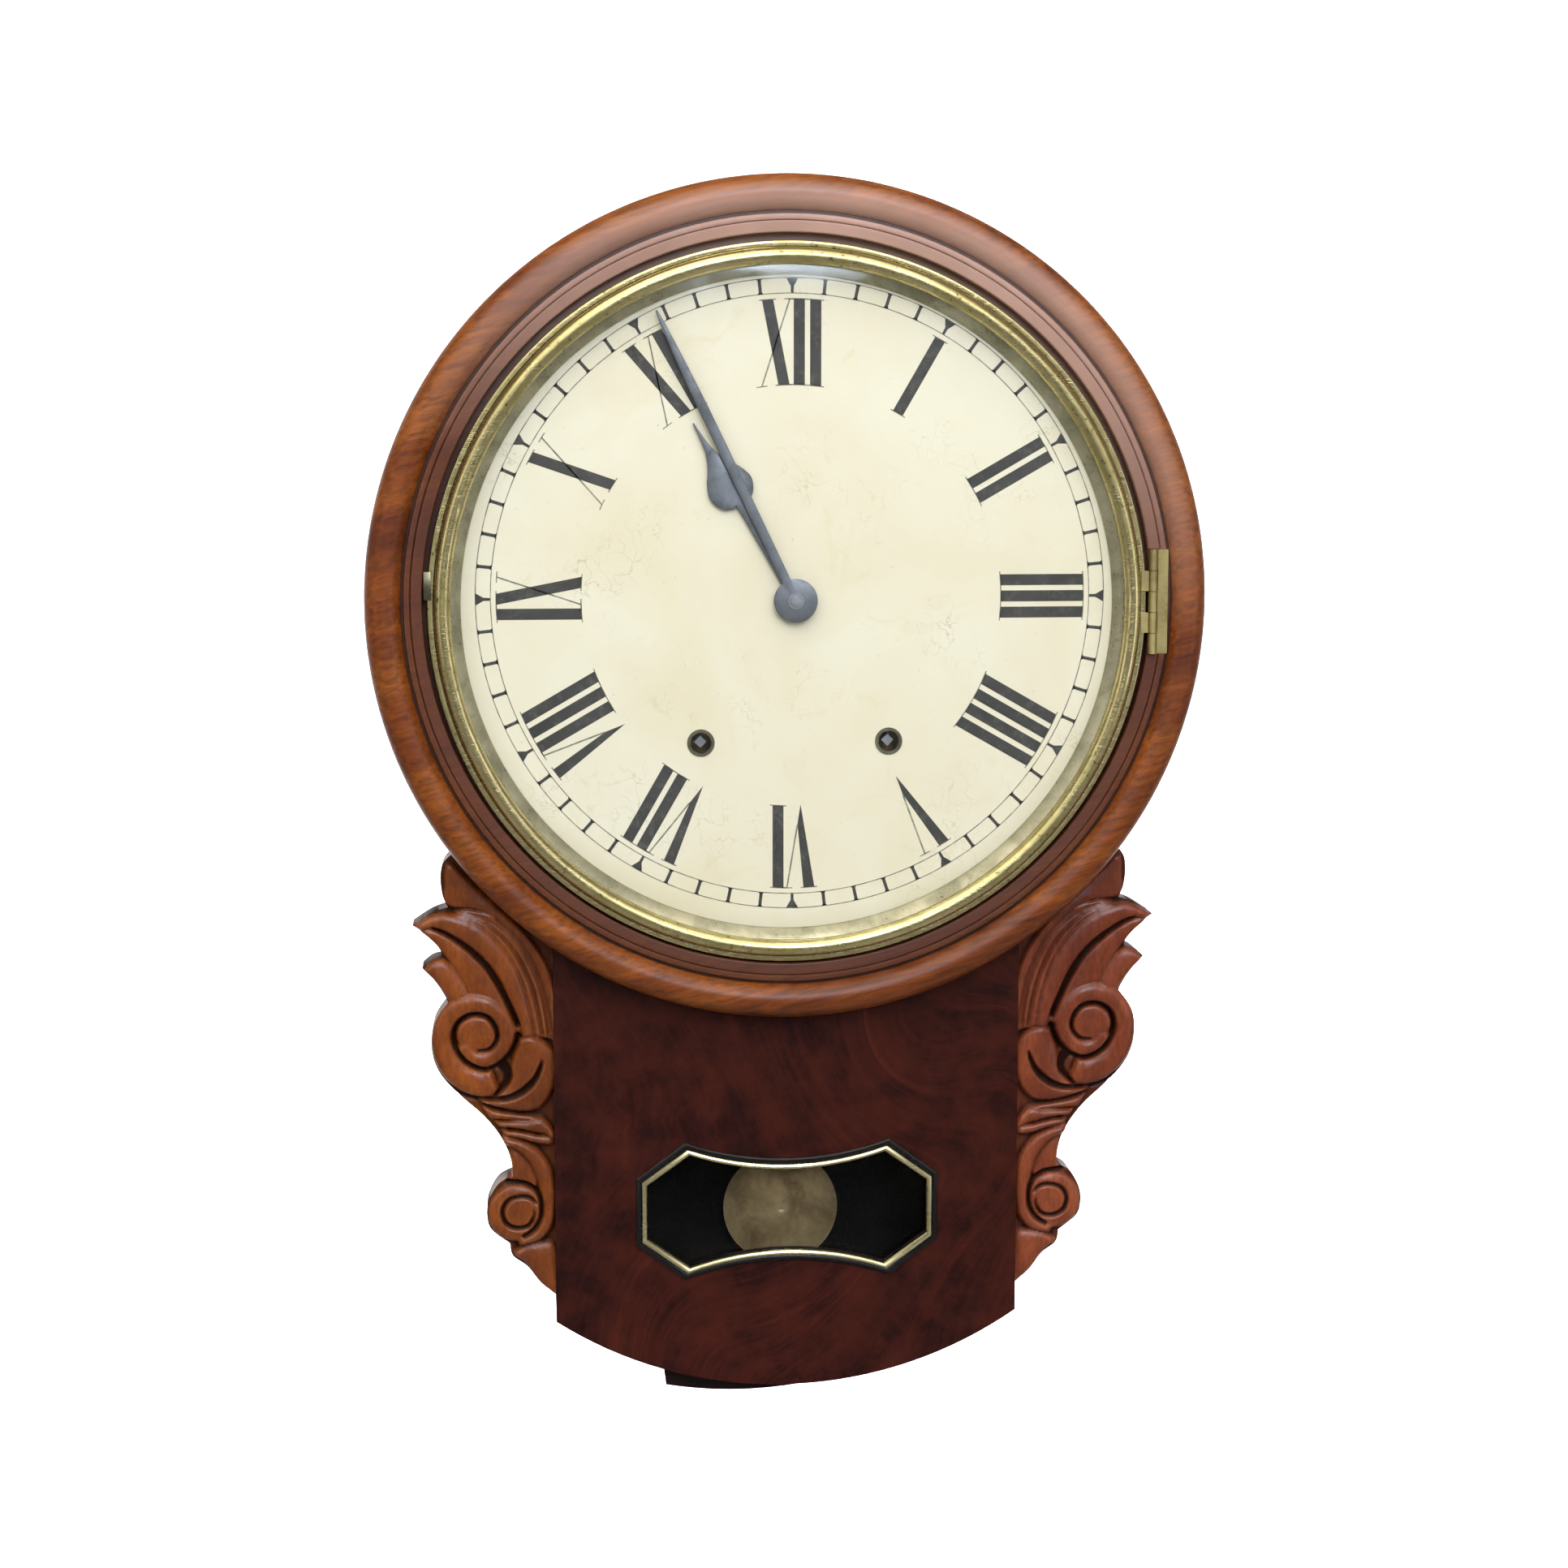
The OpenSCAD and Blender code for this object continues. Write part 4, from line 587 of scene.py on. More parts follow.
def arc(cx, cy, rx, ry, start, end, steps):
    angles = [math.radians(start + (end - start) * i / steps) for i in range(steps + 1)]
    return [(cx + rx * math.cos(a), cy + ry * math.sin(a)) for a in angles]


def smoothRun(run, steps):
    run = [np.array(p, float) for p in run]
    last, made = len(run) - 1, []
    for k in range(last):
        a, b, c, d = run[max(k - 1, 0)], run[k], run[k + 1], run[min(k + 2, last)]
        for i in range(steps):
            s = i / steps
            curve = (2 * a - 5 * b + 4 * c - d) * s ** 2 + (3 * b - a - 3 * c + d) * s ** 3
            made.append(0.5 * (2 * b + (c - a) * s + curve))
    return np.array(made + [run[-1]])


def runLength(points):
    return np.concatenate([[0], np.cumsum(np.linalg.norm(np.diff(points, axis=0), axis=1))])


def resample(points, count):
    along = runLength(points)
    at = np.linspace(0, along[-1], count)
    return np.stack([np.interp(at, along, points[:, i]) for i in (0, 1)], 1)


surround = {
    "seat": [(148.5, 88), (148, 88.5), (148, 96.7), (148.3, 97), (163.2, 97), (163.2, 103.2)],
    "beads": [(166.4, 104.05), (167.6, 104.3), (168.1, 104.25), (168.35, 103.85), (168.5, 103.6), (168.7, 103.9),
              (169.0, 104.25), (169.6, 104.35), (170.7, 104.3), (171.2, 104.1), (171.45, 103.4), (171.6, 102.5)],
    "crown": (180.4, 98, 8.6, 10), "foot": [(188.75, 94), (188.3, 89), (187.8, 88)],
    "hingeRecess": [((160.4, -23.8, 101.8), (166.6, 23.8, 110)), ((163.9, -23.6, 103), (170.9, 23.6, 110))],
}


# Turned surround, with the hinge's recess cut at the right
def makeSurround():
    profile = surround["seat"] + arc(164.0, 103.2, 0.8, 0.8, 180, 90, 4) + surround["beads"]
    profile += arc(*surround["crown"], 153.5, 0, 40) + surround["foot"]
    points, faces = lathe(profile, 384)
    piece = addPiece("turnedSurround", points, faces, "case", "surroundWood", 30, ("surround",))
    cutAway(piece, surround["hingeRecess"], 30)


bezel = {
    "wall": [(158.2, 97.4), (160.7, 97.4), (161, 97.7), (161, 103.6)],
    "step": [(159.3, 104.38), (158.6, 104.3), (158.35, 103.9), (158.1, 103.65)],
    "bead": (154.3, 106.6, 3.7), "rebate": [(150.6, 105.5), (153.6, 105.5), (153.6, 102.3), (158.2, 102.3)],
    "dentDepth": 0.55, "dentedAt": 140, "dentedReach": 38, "hingeDentsAt": 3, "hingeDentsReach": 8,
    "tab": [(-162.4, 3), (-162.4, 15.1), (-162.1, 15.3), (-159, 15.3), (-159, 2.8), (-162.2, 2.8)],
    "tabBack": 103.9, "tabFront": 105.25, "tabEdge": 0.25,
}
sightRing = {
    "heel": [(147.2, 98.6), (146.6, 98.6), (146.4, 98.75), (146.4, 99.0), (146.6, 99.3)],
    "slopeFrom": (146.6, 99.3), "slope": (4.7, 3.75), "bulge": 0.25,
    "lip": [(152, 103.1), (153.3, 103.1), (153.3, 102.3), (151.7, 102.3)],
}
dome = {"rim": 153.3, "back": 103.2, "rise": 4.5, "thick": 2.0}


# The bead's inner edge is dented, most of all at the upper left and at the hinge
def dentBead(first, last):
    def near(turn, middle, reach):
        return max(0.0, 1 - abs(turn - middle) / reach)

    def tweak(i, r, t, a):
        if not first <= i <= last:
            return r, t
        share = (i - first) / (last - first)
        turn = math.degrees(a) % 360
        worn = 0.25 + 0.75 * near(turn, bezel["dentedAt"], bezel["dentedReach"])
        worn += 0.5 * near(turn, bezel["hingeDentsAt"], bezel["hingeDentsReach"])
        around = Vector((math.cos(a) * 26, math.sin(a) * 26, share * 1.2))
        lump = noise.noise(around) + 0.6 * noise.noise(around * 2.3)
        depth = bezel["dentDepth"] * worn * lump * math.sin(math.pi * min(1.0, share * 1.15)) ** 2
        return r + depth * 0.8, t - abs(depth) * 0.7
    return tweak


def makeBezel():
    x, t, r = bezel["bead"]
    bead = arc(x, t, r, r, -18, 186, 30)
    profile = bezel["wall"] + arc(160.2, 103.6, 0.8, 0.8, 0, 90, 4) + bezel["step"]
    start = len(profile)
    points, faces = lathe(profile + bead + bezel["rebate"], 540, bezelAt, dentBead(start + 14, start + len(bead) - 2))
    addPiece("turnedBezel", points, faces, "bezel", "bezelBrass", 35, ("bezel_ring",))


def makeSightRing():
    (r, t), (wide, deep) = sightRing["slopeFrom"], sightRing["slope"]
    slope = [(r + wide * s, t + deep * s + sightRing["bulge"] * math.sin(math.pi * s)) for s in np.linspace(0.1, 1, 10)]
    points, faces = lathe(sightRing["heel"] + slope + sightRing["lip"], 384, bezelAt)
    addPiece("slopingRing", points, faces, "bezel", "sightBrass", 40, ("sight_ring",))


def makeDomeGlass():
    rim, rise, thick = dome["rim"], dome["rise"], dome["thick"]
    bow = (rim * rim + rise * rise) / (2 * rise)
    centre = dome["back"] + rise - bow
    reach = np.linspace(0, rim, 40)
    front = [(r, centre + math.sqrt((bow + thick) ** 2 - r * r)) for r in reach]
    behind = [(r, centre + math.sqrt(bow * bow - r * r)) for r in reach[::-1]]
    points, faces = lathe(front + behind, 240, bezelAt)
    addPiece("domedGlass", points, faces, "bezel", "bezelGlass", 40, ("bezel_glass",))


# Tab at the bezel's left for lifting it, a flat plate with a rounded front edge, in dark brass as painted shade under
# the bezel's lip
def makeLiftingTab():
    outline = [Vector(p) for p in bezel["tab"]]
    back, front, edge = bezel["tabBack"], bezel["tabFront"], bezel["tabEdge"]
    count = len(outline)
    inward = []
    for i in range(count):
        way = (outline[(i + 1) % count] - outline[i - 1]).normalized()
        inward.append(Vector((way.y, -way.x)) * edge)
    rings = [(0, back), (0, front - edge), (0.3, front - 0.3 * edge), (1, front)]
    points = [(*(p + move * share), t) for share, t in rings for p, move in zip(outline, inward)]
    faces = ringFaces(count, len(rings)) + [tuple(range(count)), tuple(range(3 * count, 4 * count))]
    addPiece("liftingTab", points, faces, "bezel", "ferruleAndShadedTabBrass", 50)


# Pendulum window: half sizes of its outline, and the sections swept round it as margin and level
window = {
    "middle": -282.6, "half": 67.6, "cornerX": 46.5, "cornerY": 29.7, "waist": 21.7, "side": 14.3,
    "border": [(0, 83), (0, 88), (2.6, 88), (2.5, 89), (1.9, 89.5), (0.9, 89.6), (0.2, 89.3), (0.1, 88.6),
               (-0.4, 87.5), (-2.2, 87.5), (-2.2, 83)],
    "line": [(-0.4, 87.6), (0.1, 88.6), (0.05, 89.2), (-0.35, 89.8), (-1.25, 90.1), (-2.15, 89.8), (-2.6, 89.2),
             (-2.65, 88.6), (-2.2, 87.6)],
}


def windowOutline(margin):
    half, side = window["half"] + margin, window["side"] + margin * 0.6
    cornerX, cornerY = window["cornerX"] + margin * 0.45, window["cornerY"] + margin * 1.15
    waist = window["waist"] + margin
    dip = cornerY - waist
    bow = (cornerX * cornerX + dip * dip) / (2 * dip)
    span = math.degrees(math.asin(cornerX / bow))
    top = arc(0, waist + bow, bow, bow, -90 + span, -90 - span, 16)
    foot = arc(0, -waist - bow, bow, bow, 90 + span, 90 - span, 16)
    outline = [(half, -side), (half, side)] + top + [(-half, side), (-half, -side)] + foot
    return [(x, y + window["middle"]) for x, y in outline]


def makeWindow():
    for name, section, material, slot, stands in (
            ("windowBorder", window["border"], "blackWood", "black_wood", "window_border"),
            ("windowLine", window["line"], "windowBrass", "brass", "window_frame")):
        rows = [[(x, y, t) for x, y in windowOutline(margin)] for margin, t in section]
        points = [p for row in rows for p in row]
        addPiece(name, points, ringFaces(len(rows[0]), len(rows), True), "case", material, 32, (stands,))


# Hands: half outline from the boss to the tip, boss and hole radius, angle and levels
hands = [
    {"name": "hourHand", "stands": "hour_hand", "body": "hour", "angle": 330, "boss": 8, "hole": 3.85,
     "back": 99.6, "front": 100.5,
     "side": [(1.9, 16), (1.75, 34), (1.9, 49.24), (2.6, 49.04), (7.4, 51.04), (10.4, 57.24), (8.6, 63.84), (4.6, 70.24),
              (1.6, 78.24), (0.3, 91)]},
    {"name": "minuteHand", "stands": "minute_hand", "body": "minute", "angle": 334.3, "boss": 9.8, "hole": 1.55,
     "back": 101.8, "front": 102.7,
     "side": [(2.1, 12), (2.25, 50), (2.3, 88), (1.9, 112), (1.1, 134), (0.5, 141.4), (0.25, 142)]},
]
handEdge = 0.32
holeSteps = 24


def turned(points, angle, level):
    c, s = math.cos(math.radians(angle)), math.sin(math.radians(angle))
    return [(arborAt[0] + x * c + y * s, arborAt[1] - x * s + y * c, level) for x, y in points]


# The top and back faces are filled between the outline and the hole
def addHand(hand):
    back, front, boss, hole, angle = (hand[key] for key in ("back", "front", "boss", "hole", "angle"))
    neck = math.degrees(math.asin(hand["side"][0][0] / boss))
    side = [tuple(p) for p in smoothRun(hand["side"], 6)]
    outline = arc(0, 0, boss, boss, 90 + neck, 450 - neck, 60) + side + [(-x, y) for x, y in reversed(side)]
    outline = [p for i, p in enumerate(outline) if i == 0 or math.dist(p, outline[i - 1]) > 0.02]
    count = len(outline)
    insets = []
    for i, (x, y) in enumerate(outline):
        ahead, behind = outline[(i + 1) % count], outline[i - 1]
        way = Vector((ahead[0] - behind[0], ahead[1] - behind[1])).normalized()
        limit = min(handEdge, 0.6 * abs(x)) if y > 9 else handEdge
        insets.append((x - way.y * limit, y + way.x * limit))
    between = [(a[0] * 0.6 + b[0] * 0.4, a[1] * 0.6 + b[1] * 0.4) for a, b in zip(outline, insets)]
    bore = arc(0, 0, hole, hole, 0, 360 - 360 / holeSteps, holeSteps - 1)
    rings = [(outline, back), (outline, front - handEdge), (between, front - handEdge * 0.2), (insets, front),
             (bore, back), (bore, front)]
    points = [p for ring, level in rings for p in turned(ring, angle, level)]
    start, top = 4 * count, 4 * count + holeSteps
    faces = ringFaces(count, 4) + [tuple(start + i for i in face) for face in ringFaces(holeSteps, 2)]
    fills = [[list(range(count)), list(range(start, top))],
             [list(range(3 * count, start)), list(range(top, top + holeSteps))]]
    addPiece(hand["name"], points, faces, hand["body"], "handSteel", 50, (hand["stands"],), fills)


# Ears: a relief is worked out on a grid and laid over the outline

earRuns = [
    (-42.5, 222.2, -48.5, 216.7, -50.3, 210.2, -49.5, 201.2, -47.1, 195.6),
    (-47.1, 195.6, -54.5, 193, -63.3, 187.4),
    (-63.3, 187.4, -56.5, 182.6, -51.5, 177.2, -49.9, 172.4),
    (-49.9, 172.4, -54.8, 171.2, -59.3, 167.6),
    (-59.3, 167.6, -53.2, 161.2, -47.7, 151.8),
    (-47.7, 151.8, -53.7, 143.2, -55.6, 133.6, -54.5, 124.1, -50.1, 115.6, -41.9, 106.8, -32, 97.6, -24.3, 87.3, -20.1, 77.2,
     -19.4, 69.2),
    (-19.4, 69.2, -25.9, 65.6, -30.5, 57.6, -31.4, 50.2, -29.3, 43.6, -21.1, 37),
    (-21.1, 37, -19.7, 31, -13.1, 25.8, -6.9, 17.8, 0, 12.2),
]
# Carved bands: foot and crest level, then two edges as distances left of and below the dial's middle, in turn
earBands = [
    (84.6, 85.9,
     (152.7, 118.7, 144, 127.7, 132.5, 138.4, 120.5, 150.6, 110.7, 165.8, 105.7, 182.9, 105.2, 198.1),
     (155.2, 118.6, 155.7, 127.6, 154.4, 137.3, 140.5, 139.8, 126.7, 147.5, 115.8, 162, 108.7, 181.8, 107, 198.1)),
    (84.4, 85.8,
     (146, 139.3, 131.4, 143.7, 118.7, 155.9, 110.8, 171.9, 106.5, 188.6, 105.6, 201.5),
     (151.5, 140.3, 137, 145.1, 123.9, 156.6, 115.2, 172.6, 111, 188.5, 109.3, 200.3)),
    (84.7, 86.3,
     (149.3, 140.4, 135.5, 145.9, 123.1, 157.3, 114.9, 173.3, 111, 188.5, 109.3, 200.3),
     (151.6, 141.1, 138.8, 146.2, 126.8, 157.6, 118.9, 173.2, 114.7, 188.5, 112.9, 199.5)),
    (85, 86.8,
     (151.6, 141.1, 138.4, 146.6, 126.5, 158, 118.6, 174, 114.7, 189.2, 113, 199.9),
     (153, 141.4, 141.4, 146.1, 130.5, 155.7, 122.2, 170.9, 117.6, 187.6, 115.9, 199.1)),
    (85.4, 88,
     (169.6, 146.8, 163.3, 142.8, 155.2, 141, 143.5, 144.6, 132.7, 153.4, 124.7, 165.6, 119.7, 180, 116.9, 193, 116.3, 199.4),
     (167.4, 148.3, 159.7, 148.1, 153.2, 150.8, 145.2, 156.2, 137.9, 163.1, 131.4, 172.3, 126.8, 182.9, 123.2, 192.1, 121.5,
      199.7)),
    (84.4, 86.6,
     (167.8, 147.9, 159.7, 148.4, 153.2, 151.2, 145.6, 156.6, 138.3, 163.5, 132.2, 172.2, 127.9, 182.1, 124.3, 191.3, 122.2,
      198.2),
     (166.3, 150.2, 162, 154.4, 157, 159.8, 153.4, 165.1, 149.8, 171.9, 146.3, 178.8, 139.7, 182.7, 133.1, 186.6, 127.3, 192.8)),
    (84.6, 87,
     (165.5, 167.1, 161.8, 163.4, 156.7, 162.8, 152, 167.7, 148.4, 173.1, 145.5, 178.8),
     (165.2, 167.9, 162.3, 170.9, 159.1, 174.8, 156.2, 179, 154, 182.4, 151.5, 185.5)),
    (84.9, 87.8,
     (123.1, 200.2, 124.2, 203.8, 126.2, 209.8, 127.5, 215, 128.8, 220.2, 131.7, 224.1, 136.1, 227, 142.7, 227.5),
     (118.4, 198.6, 112.1, 201.3, 107.6, 206.8, 106.3, 213.7, 107.3, 221.5, 110.8, 228.9, 115.9, 233.3, 124.4, 233.8, 135.3,
      231.1, 143.7, 227.7)),
    (84.4, 86,
     (139.8, 232, 132.1, 234.4, 125.9, 235.3, 119.7, 236.3, 115.2, 237),
     (136.8, 237.2, 130.9, 238, 125.9, 238.4, 121, 238.7, 116, 238.5)),
    (84.5, 87.2,
     (134.8, 238.6, 125.9, 238.6, 119.7, 238.6, 115.2, 237.3, 112.5, 238, 109.2, 241.6, 107, 246.1),
     (132.6, 241.4, 126.8, 241.9, 121.8, 242.8, 116.9, 244.2, 113.2, 244.9, 110.8, 245.8, 108.2, 247.8)),
    (84.3, 86.5,
     (131.6, 242.9, 126, 243.2, 121, 244.1, 116.1, 245.4, 111.1, 246, 107.6, 247.3),
     (130.4, 246, 126, 246.6, 121.1, 247.8, 115.3, 249.6, 110.3, 250.2, 107.8, 249.6)),
    (84.6, 87.3,
     (131.3, 245.9, 121.5, 248.6, 114.3, 253.6, 109.2, 262.1, 107.6, 271.8, 107.9, 281.5, 109.4, 289.3, 114.8, 295.6, 124.1,
      298.2),
     (130.8, 249.2, 123.6, 253.5, 118.7, 259.3, 115.9, 266.3, 114.2, 273.8, 113.6, 280.3, 114.5, 286.7, 118.4, 291.4, 125.1,
      294.2)),
    (83.9, 85.4,
     (128.4, 250.6, 121.6, 254.8, 117.3, 261.9, 115.8, 269.4),
     (128.3, 267.9, 124.8, 268.3, 120.2, 268.9, 116.6, 271.6)),
    (84.2, 86.6,
     (127.1, 301.2, 121.1, 297.9, 114.8, 296.6, 108.9, 297.3, 106.5, 303.8, 106, 313.5, 106.1, 322.5),
     (125.7, 302.9, 122.8, 304.9, 119.8, 308.1, 116.9, 312.4, 113.6, 316.8, 109.8, 320, 106.5, 322.8)),
]
# The big scroll is one roll: angle clockwise from the right, inner and outer radius
earScroll = {"centre": (-141.6, -199.1), "foot": 85.2, "crest": 88.0}
earScroll["marks"] = [
    (-650, 15.1, 27.7), (-633, 14.8, 28.2), (-621, 14.0, 27.2), (-606, 12.7, 25.2), (-591, 12.1, 24.0), (-572, 11.6, 22.5),
    (-552, 11.5, 21.5), (-532, 11.6, 21.2), (-511, 11.7, 21.2), (-488, 11.6, 21.5), (-471, 11.4, 21.0), (-451, 11.0, 20.6),
    (-435, 10.7, 20.0), (-414, 9.8, 18.7), (-397, 9.4, 18.0), (-377, 8.8, 17.6), (-360, 8.5, 17.6), (-351, 8.2, 17.0),
    (-328, 7.6, 15.9), (-305, 7.0, 15.4), (-280, 6.3, 15.0), (-266, 6.0, 13.9), (-230, 4.5, 11.8), (-200, 3.0, 11.5)]
earScroll["groove"] = [
    (94, 6.0), (50, 7.1), (18, 8.0), (-11, 8.7), (-45, 9.5), (-72, 10.6), (-103, 11.2), (-134, 11.6), (-159, 11.7), (-188, 11.5),
    (-221, 11.6), (-251, 12.9), (-280, 15.0), (-305, 15.4), (-328, 15.9), (-351, 17.0), (-365, 17.8)]
# Flat discs with rounded rims: centre, radius, foot and crest level
earDiscs = [((-142.2, -197.6), 9.4, 85.6, 87.7), ((-124.9, -282.3), 13.3, 84.8, 86.9)]
# Cuts of the gouge: depth, then left, below and width in turn
earCuts = [
    (2.6, (112.7, 210.1, 0.5, 114, 214.4, 1.8, 116.7, 219.6, 3.1, 121.7, 224.3, 2.8, 127.7, 227.2, 1.8, 135.3, 228, 1.4, 143.7,
      227.4, 1.2, 151.6, 224.8, 0.8)),
    (3.6, (131.5, 211.6, 4.4, 128.8, 215.4, 4.2, 128.9, 219.8, 2.8, 132.3, 224, 1.4, 134.6, 226.6, 0.8)),
    (2.2, (162.1, 147.4, 0.6, 155, 151.2, 1.3, 146.6, 157.2, 1.8, 138.4, 165.3, 2.1, 132.6, 174.3, 2.2, 127.4, 184.8, 2.2, 123.4,
      194, 2)),
    (1.9, (116.2, 277.6, 0.8, 119, 275.1, 1.2, 123.4, 274.3, 1.2, 128.6, 275.8, 1.4, 131.6, 280.3, 1.8, 130.7, 286, 2, 126.1, 289.1,
      1.9, 120.4, 288.5, 1.5, 117.4, 284.5, 1.1, 117, 281, 0.6)),
    (2.2, (129.9, 267.6, 1, 126.9, 267.6, 1.4, 121.2, 268.5, 1.4, 116.2, 271.6, 1.5, 113.9, 277.6, 1.6, 114.3, 284.5, 1.5, 117.4,
      290.1, 1.3, 122.3, 293.6, 1)),
    (0.9, (137, 145.6, 0.6, 125.4, 157.4, 1, 118.2, 171.8, 1.2, 114.2, 186, 1.2, 112.3, 198, 1)),
    (0.9, (133, 143.9, 0.6, 120.8, 156.4, 1, 113, 172.4, 1.2, 109.2, 188, 1.2, 107.6, 200, 1)),
    (0.8, (129.8, 147, 0.5, 121.6, 157, 0.9, 114.9, 170.6, 1, 111.2, 186, 1, 109.8, 199, 0.8)),
]


earGrid = {"x": -174.0, "y": -326.0, "step": 0.4, "ground": 83.4, "shape": (175, 545)}
earLook = {
    "back": 68.0, "sides": 82, "sideShade": 0.9, "lowest": 82.6, "highest": 88, "rollStep": 0.18, "rollFade": 2.5, "cutStep": 0.15,
    "edgeStep": 0.7, "meshStep": 0.62, "meshClear": 0.4, "toolMarks": 0.12, "maskRadius": 172.45,
    "maskFrom": (-107.5, -134.9), "maskTo": (-131.1, -112), "corner": (-107.5, -334.2), "end": (-107.5, -322.0),
    "fillX": (-172, -107.6), "fillY": (-322, -112), "narrow": 1.2,
}


# A rounded roll between two edges, which fades out at its ends
def splat(field, first, second, low, high):
    length = max(runLength(first)[-1], runLength(second)[-1])
    rows = max(12, int(length / earLook["rollStep"]))
    a, b = resample(first, rows), resample(second, rows)
    width = np.linalg.norm(a - b, axis=1)
    u = np.linspace(0, 1, max(8, int(width.max() / earLook["rollStep"])))
    spots = a[:, None] * (1 - u)[None, :, None] + b[:, None] * u[None, :, None]
    along = np.linspace(0, length, rows)
    ends = np.clip(np.minimum(along, length - along) / earLook["rollFade"], 0, 1) ** 0.5
    ends *= np.clip(width / earLook["narrow"], 0, 1) ** 0.5
    heights = low + (high - low) * (np.sin(np.pi * u) ** 0.5)[None, :] * ends[:, None]
    write(field, spots, heights)


def gouge(field, run, widths, depth):
    rows = max(12, int(runLength(run)[-1] / earLook["cutStep"]))
    middle = resample(run, rows)
    width = np.interp(np.linspace(0, 1, rows), np.linspace(0, 1, len(widths)), widths)
    way = np.gradient(middle, axis=0)
    way /= np.linalg.norm(way, axis=1)[:, None]
    u = np.linspace(-0.5, 0.5, 25)
    side = np.stack([-way[:, 1], way[:, 0]], 1) * (width + 0.6)[:, None]
    write(field, middle[:, None] + side[:, None] * u[None, :, None],
          depth * np.clip(width / earLook["narrow"], 0, 1)[:, None] * (1 - 4 * u * u)[None, :])


def gridPlace(spots, axis):
    return (spots[..., axis] - earGrid["xy"[axis]]) / earGrid["step"]


def write(field, spots, heights):
    i, j = (np.clip(np.rint(gridPlace(spots, k)).astype(int), 0, field.shape[k] - 1) for k in (0, 1))
    np.maximum.at(field, (i, j), heights)


def blur(field, rounds):
    for _ in range(rounds):
        wide = np.pad(field, 1, mode="edge")
        field = (wide[:-2, 1:-1] + wide[2:, 1:-1] + wide[1:-1, :-2] + wide[1:-1, 2:] + 2 * wide[1:-1, 1:-1]) / 6
    return field


def onScroll(angles, radii):
    turn = np.radians(angles)
    return np.array(earScroll["centre"]) + np.stack([np.cos(turn), -np.sin(turn)], 1) * np.array(radii)[:, None]


def makeRelief():
    field = np.full(earGrid["shape"], earGrid["ground"])
    for low, high, *edges in earBands:
        splat(field, *(smoothRun(-np.reshape(edge, (-1, 2)), 8) for edge in edges), low, high)
    marks = np.array(earScroll["marks"])
    angles = np.linspace(marks[0, 0], marks[-1, 0], 240)
    inner, outer = (onScroll(angles, np.interp(angles, marks[:, 0], marks[:, k])) for k in (1, 2))
    splat(field, inner, outer, earScroll["foot"], earScroll["crest"])
    for centre, radius, low, high in earDiscs:
        reach, angles = np.meshgrid(np.linspace(0, radius, 90), np.linspace(0, 2 * np.pi, 360))
        spots = np.stack([centre[0] + reach * np.cos(angles), centre[1] + reach * np.sin(angles)], -1)
        write(field, spots, low + (high - low) * np.sqrt(np.clip(1 - (reach / radius) ** 4, 0, 1)))
    cuts = np.zeros(earGrid["shape"])
    groove = np.array(earScroll["groove"])
    gouge(cuts, smoothRun(onScroll(groove[:, 0], groove[:, 1]), 10), (0.7, 1.3, 1.7, 1.7, 1.7, 1.8, 2.0), 2.3)
    for depth, run in earCuts:
        run = np.reshape(run, (-1, 3))
        gouge(cuts, smoothRun(-run[:, :2], 8), run[:, 2], depth)
    return blur(field, 2) - blur(cuts, 1), blur(cuts, 1)


def readField(field, spots):
    x, y = (np.clip(gridPlace(spots, k), 0, field.shape[k] - 1.001) for k in (0, 1))
    i, j = x.astype(int), y.astype(int)
    fx, fy = x - i, y - j
    return (field[i, j] * (1 - fx) * (1 - fy) + field[i + 1, j] * fx * (1 - fy)
            + field[i, j + 1] * (1 - fx) * fy + field[i + 1, j + 1] * fx * fy)


def earOutline():
    runs = [smoothRun(np.reshape(run, (-1, 2)), 6)[:-1] for run in earRuns]
    path = [p + np.array(earLook["corner"]) for run in runs for p in run] + [np.array(earLook["end"])]
    start, end = (math.degrees(math.atan2(y, x)) for x, y in (earLook["maskFrom"], earLook["maskTo"]))
    radius = earLook["maskRadius"]
    return np.array(path + [np.array(p) for p in arc(0, 0, radius, radius, start, end, 10)])


def pointsInside(points, ring):
    inside = np.zeros(len(points), bool)
    for a, b in zip(ring, np.roll(ring, 1, axis=0)):
        crosses = (a[1] > points[:, 1]) != (b[1] > points[:, 1])
        if a[1] != b[1]:
            inside ^= crosses & (points[:, 0] < (b[0] - a[0]) * (points[:, 1] - a[1]) / (b[1] - a[1]) + a[0])
    return inside


# Flat mesh of the ear's outline, filled with an even grid of points that stay clear of its edge
def earSheet():
    outline = earOutline()
    fine = []
    for a, b in zip(outline, np.roll(outline, -1, axis=0)):
        steps = max(1, int(np.linalg.norm(b - a) / earLook["edgeStep"]))
        fine += [a + (b - a) * k / steps for k in range(steps)]
    fine, step = np.array(fine), earLook["meshStep"]
    grid = np.array([(x, y) for x in np.arange(*earLook["fillX"], step) for y in np.arange(*earLook["fillY"], step)])
    grid = grid[pointsInside(grid, outline)]
    keep = [((p - fine) ** 2).sum(1).min() > earLook["meshClear"] ** 2 for p in grid]
    grid = grid[np.array(keep)]
    count = len(fine)
    spots = [Vector(p) for p in np.concatenate([fine, grid])]
    edges = [(i, (i + 1) % count) for i in range(count)]
    verts, _, triangles, *_ = geometry.delaunay_2d_cdt(spots, edges, [tuple(range(count))], 1, 1e-7)
    return np.array([tuple(v) for v in verts]), [tuple(f) for f in triangles], count


